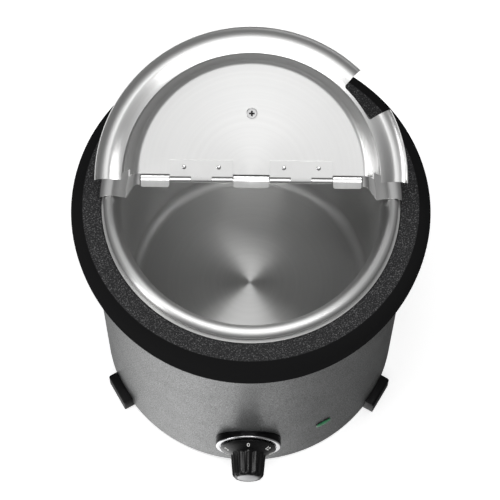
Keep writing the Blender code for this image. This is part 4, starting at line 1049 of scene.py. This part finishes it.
def build_hinges(finishes):
    sides = ((-1, "flap", "flap", FLAP_PLACE), (1, "rear", "lid_rear", REAR_PLACE))
    for side, name in ((-1, "left"), (1, "right")):
        centre = side * HINGE_OFFSET
        for sign, part, body, place in sides:
            tag = f"{part}_{name}"
            bm = moved(leaf_solid(centre, sign), place)
            piece(f"leaf_{tag}", bm, finishes["hinge"], body, [f"hinge_leaf_{tag}"])
            for number, spread in enumerate((-RIVET_SPREAD, RIVET_SPREAD)):
                bm = moved(rivet_solid(centre + spread, sign * RIVET_REACH), place)
                piece(f"dome_rivet_{tag}_{number + 1}", bm, finishes["pin"], body,
                      [f"rivet_{tag}_{number + 1}"])
        half = LEAF_WIDTH / 2 + 0.0002
        pin = [(0.0, -half), (PIN_RADIUS - 0.0003, -half), (PIN_RADIUS, -half + 0.0003)]
        pin += [(PIN_RADIUS, half - 0.0003), (PIN_RADIUS - 0.0003, half), (0.0, half)]
        turn = Matrix.Translation((centre, 0, 0)) @ Matrix.Rotation(math.pi / 2, 4, "Y")
        bm = moved(revolve(pin, SMALL_STEPS), REAR_PLACE @ turn)
        piece(f"pin_{name}", bm, finishes["pin"], "lid_rear", [f"hinge_pin_{name}"])


def build_lid_knob(finishes):
    base = LID_KNOB_BASE
    top = base + LID_KNOB_HEIGHT
    neck = [
        (LID_KNOB_FOOT_RADIUS, base),
        (LID_KNOB_FOOT_RADIUS, base + 0.05 * LID_KNOB_HEIGHT),
        (LID_KNOB_NECK_RADIUS + 0.0008, base + 0.10 * LID_KNOB_HEIGHT),
        (LID_KNOB_NECK_RADIUS, base + 0.20 * LID_KNOB_HEIGHT),
        (LID_KNOB_NECK_RADIUS, base + 0.40 * LID_KNOB_HEIGHT),
        (0.68 * LID_KNOB_RADIUS, base + 0.56 * LID_KNOB_HEIGHT),
        (LID_KNOB_RADIUS, top - 2.2 * LID_KNOB_ROUND),
        (LID_KNOB_RADIUS, top - LID_KNOB_ROUND),
    ]
    outline = [(0.0, base)] + soften(neck, 3)
    outline += arc((LID_KNOB_RADIUS - LID_KNOB_ROUND, top - LID_KNOB_ROUND), LID_KNOB_ROUND, 0, 90, 12)[1:]
    outline += [(0.0, top)]
    bore = rod(SCREW_HOLE_RADIUS, base - THROUGH, base + LID_KNOB_BORE_DEPTH, SMALL_STEPS)
    bm = cut(revolve(outline, ROUND_STEPS), bore)
    bm = moved(shifted(bm, y=-LID_KNOB_REACH), FLAP_PLACE)
    piece("lid_grip", bm, finishes["knob"], "flap", ["lid_knob"])
    bm = screw(LID_SCREW_HEAD_RADIUS, base + LID_KNOB_BORE_DEPTH - SEAT_GAP - LID_SCREW_SEAT.z)
    bm = moved(bm, FLAP_PLACE @ Matrix.Translation(LID_SCREW_SEAT))
    piece("grip_screw", bm, finishes["screw"], "flap", ["lid_knob_screw"])


# CAD nodes that stay.
def dress_frame(finishes):
    """Finishes of the CAD pieces that keep their own shape."""
    kept = {
        "sheet": ["base_plate"],
        "zinc": ["clamp_nut", "clamp_stud", "heater_clamp_plate", "thermostat_screw_left",
                 "thermostat_screw_right", "thermostat_shaft"],
        "heater": ["heating_element", "thermal_cutout"],
        "nylon": ["cable_gland", "gland_lock_nut"],
        "phenolic": ["pilot_lamp_body", "thermostat_body"],
        "ceramic": ["terminal_block"],
    }
    for finish, names in kept.items():
        for name in names:
            for slot in frame["nodes"][name].material_slots:
                slot.material = finishes[finish]


# Stage.
def build_floor():
    """Pale floor, lit from within. Reflections show the surroundings' table in its place."""
    bm = bmesh.new()
    bmesh.ops.create_grid(bm, x_segments=1, y_segments=1, size=6.0)
    bmesh.ops.translate(bm, vec=(0, 0, FOOT_LOW.z), verts=bm.verts)
    floor = linked("floor", bm)
    pale = Finish("pale_floor", (0.93, 0.93, 0.93), 0.8, Specular_IOR_Level=0.1, Emission_Strength=0.5)
    pale.put(pale.shader, "Emission Color", (1.0, 1.0, 1.0, 1.0))
    floor.data.materials.append(pale.material)
    floor.visible_glossy = False
    floor.visible_shadow = False


def softbox(name, place, size, power, aim=(0.0, 0.0, 0.25)):
    light = bpy.data.lights.new(name, "AREA")
    light.shape = "RECTANGLE"
    light.size, light.size_y = size
    light.energy = power
    lamp = bpy.data.objects.new(name, light)
    lamp.location = place
    lamp.rotation_euler = (Vector(aim) - Vector(place)).to_track_quat("-Z", "Y").to_euler()
    bpy.context.collection.objects.link(lamp)


def build_world():
    """Studio surroundings: bright overhead, dim at eye level, and a lit table that fades to the right."""
    world = bpy.data.worlds.new("studio")
    world.use_nodes = True
    sky = Nodes(world.node_tree)
    split = sky.nodes.new("ShaderNodeSeparateXYZ")
    sky.put(split, 0, sky.place)
    across, along, up = split.outputs
    over = sky.between(up, 0.35, 0.92, EYE_LEVEL_LIGHT, 0.58)
    front = sky.between(along, 0.30, -0.30, EYE_LEVEL_LIGHT, 1.0)
    side = sky.between(across, 0.38, -0.30, 0.30, 2.0)
    table = sky.sum("MULTIPLY", front, side)
    below = sky.between(up, -0.75, -0.15)
    low = sky.sum("MULTIPLY_ADD", sky.sum("SUBTRACT", EYE_LEVEL_LIGHT, table), below, table)
    above = sky.between(up, -0.1, 0.1)
    total = sky.sum("MULTIPLY_ADD", sky.sum("SUBTRACT", over, low), above, low)
    background = world.node_tree.nodes["Background"]
    sky.put(background, "Color", (1.0, 1.0, 1.0, 1.0))
    sky.put(background, "Strength", total)
    bpy.context.scene.world = world


def build_lights():
    softbox("front_top_box", (0.0, -1.95, 2.55), (1.7, 0.95), 6.0, (0.0, 0.1, 0.42))
    softbox("overhead_box", (-0.06, -0.36, 2.5), (2.3, 0.4), 25.0)
    softbox("left_box", (-2.0, -1.2, 0.9), (0.8, 1.2), 14.0)
    build_world()


def build_camera():
    forward = Vector((0.0, math.cos(CAMERA_PITCH), -math.sin(CAMERA_PITCH)))
    up = Vector((0.0, math.sin(CAMERA_PITCH), math.cos(CAMERA_PITCH)))
    level = Vector((1.0, 0.0, 0.0))
    right = level * math.cos(CAMERA_ROLL) + up * math.sin(CAMERA_ROLL)
    upright = up * math.cos(CAMERA_ROLL) - level * math.sin(CAMERA_ROLL)
    camera = bpy.data.objects.new("camera", bpy.data.cameras.new("camera"))
    camera.data.lens = CAMERA_LENS
    camera.data.sensor_width = 36.0
    camera.data.clip_end = 50.0
    axes = Matrix((right, upright, -forward)).transposed().to_4x4()
    camera.matrix_world = Matrix.Translation(CAMERA_PLACE) @ axes
    bpy.context.collection.objects.link(camera)
    bpy.context.scene.camera = camera
    bpy.context.scene.view_settings.view_transform = "Standard"


finishes = make_finishes()
build_pot(finishes)
build_well(finishes)
build_collar(finishes)
build_shell(finishes)
build_feet(finishes)
build_base_screws(finishes)
build_bezel(finishes)
build_knob(finishes)
build_numbers(finishes)
build_lamp(finishes)
build_flap(finishes)
build_rear(finishes)
build_hinges(finishes)
build_lid_knob(finishes)
dress_frame(finishes)
build_floor()
build_lights()
build_camera()
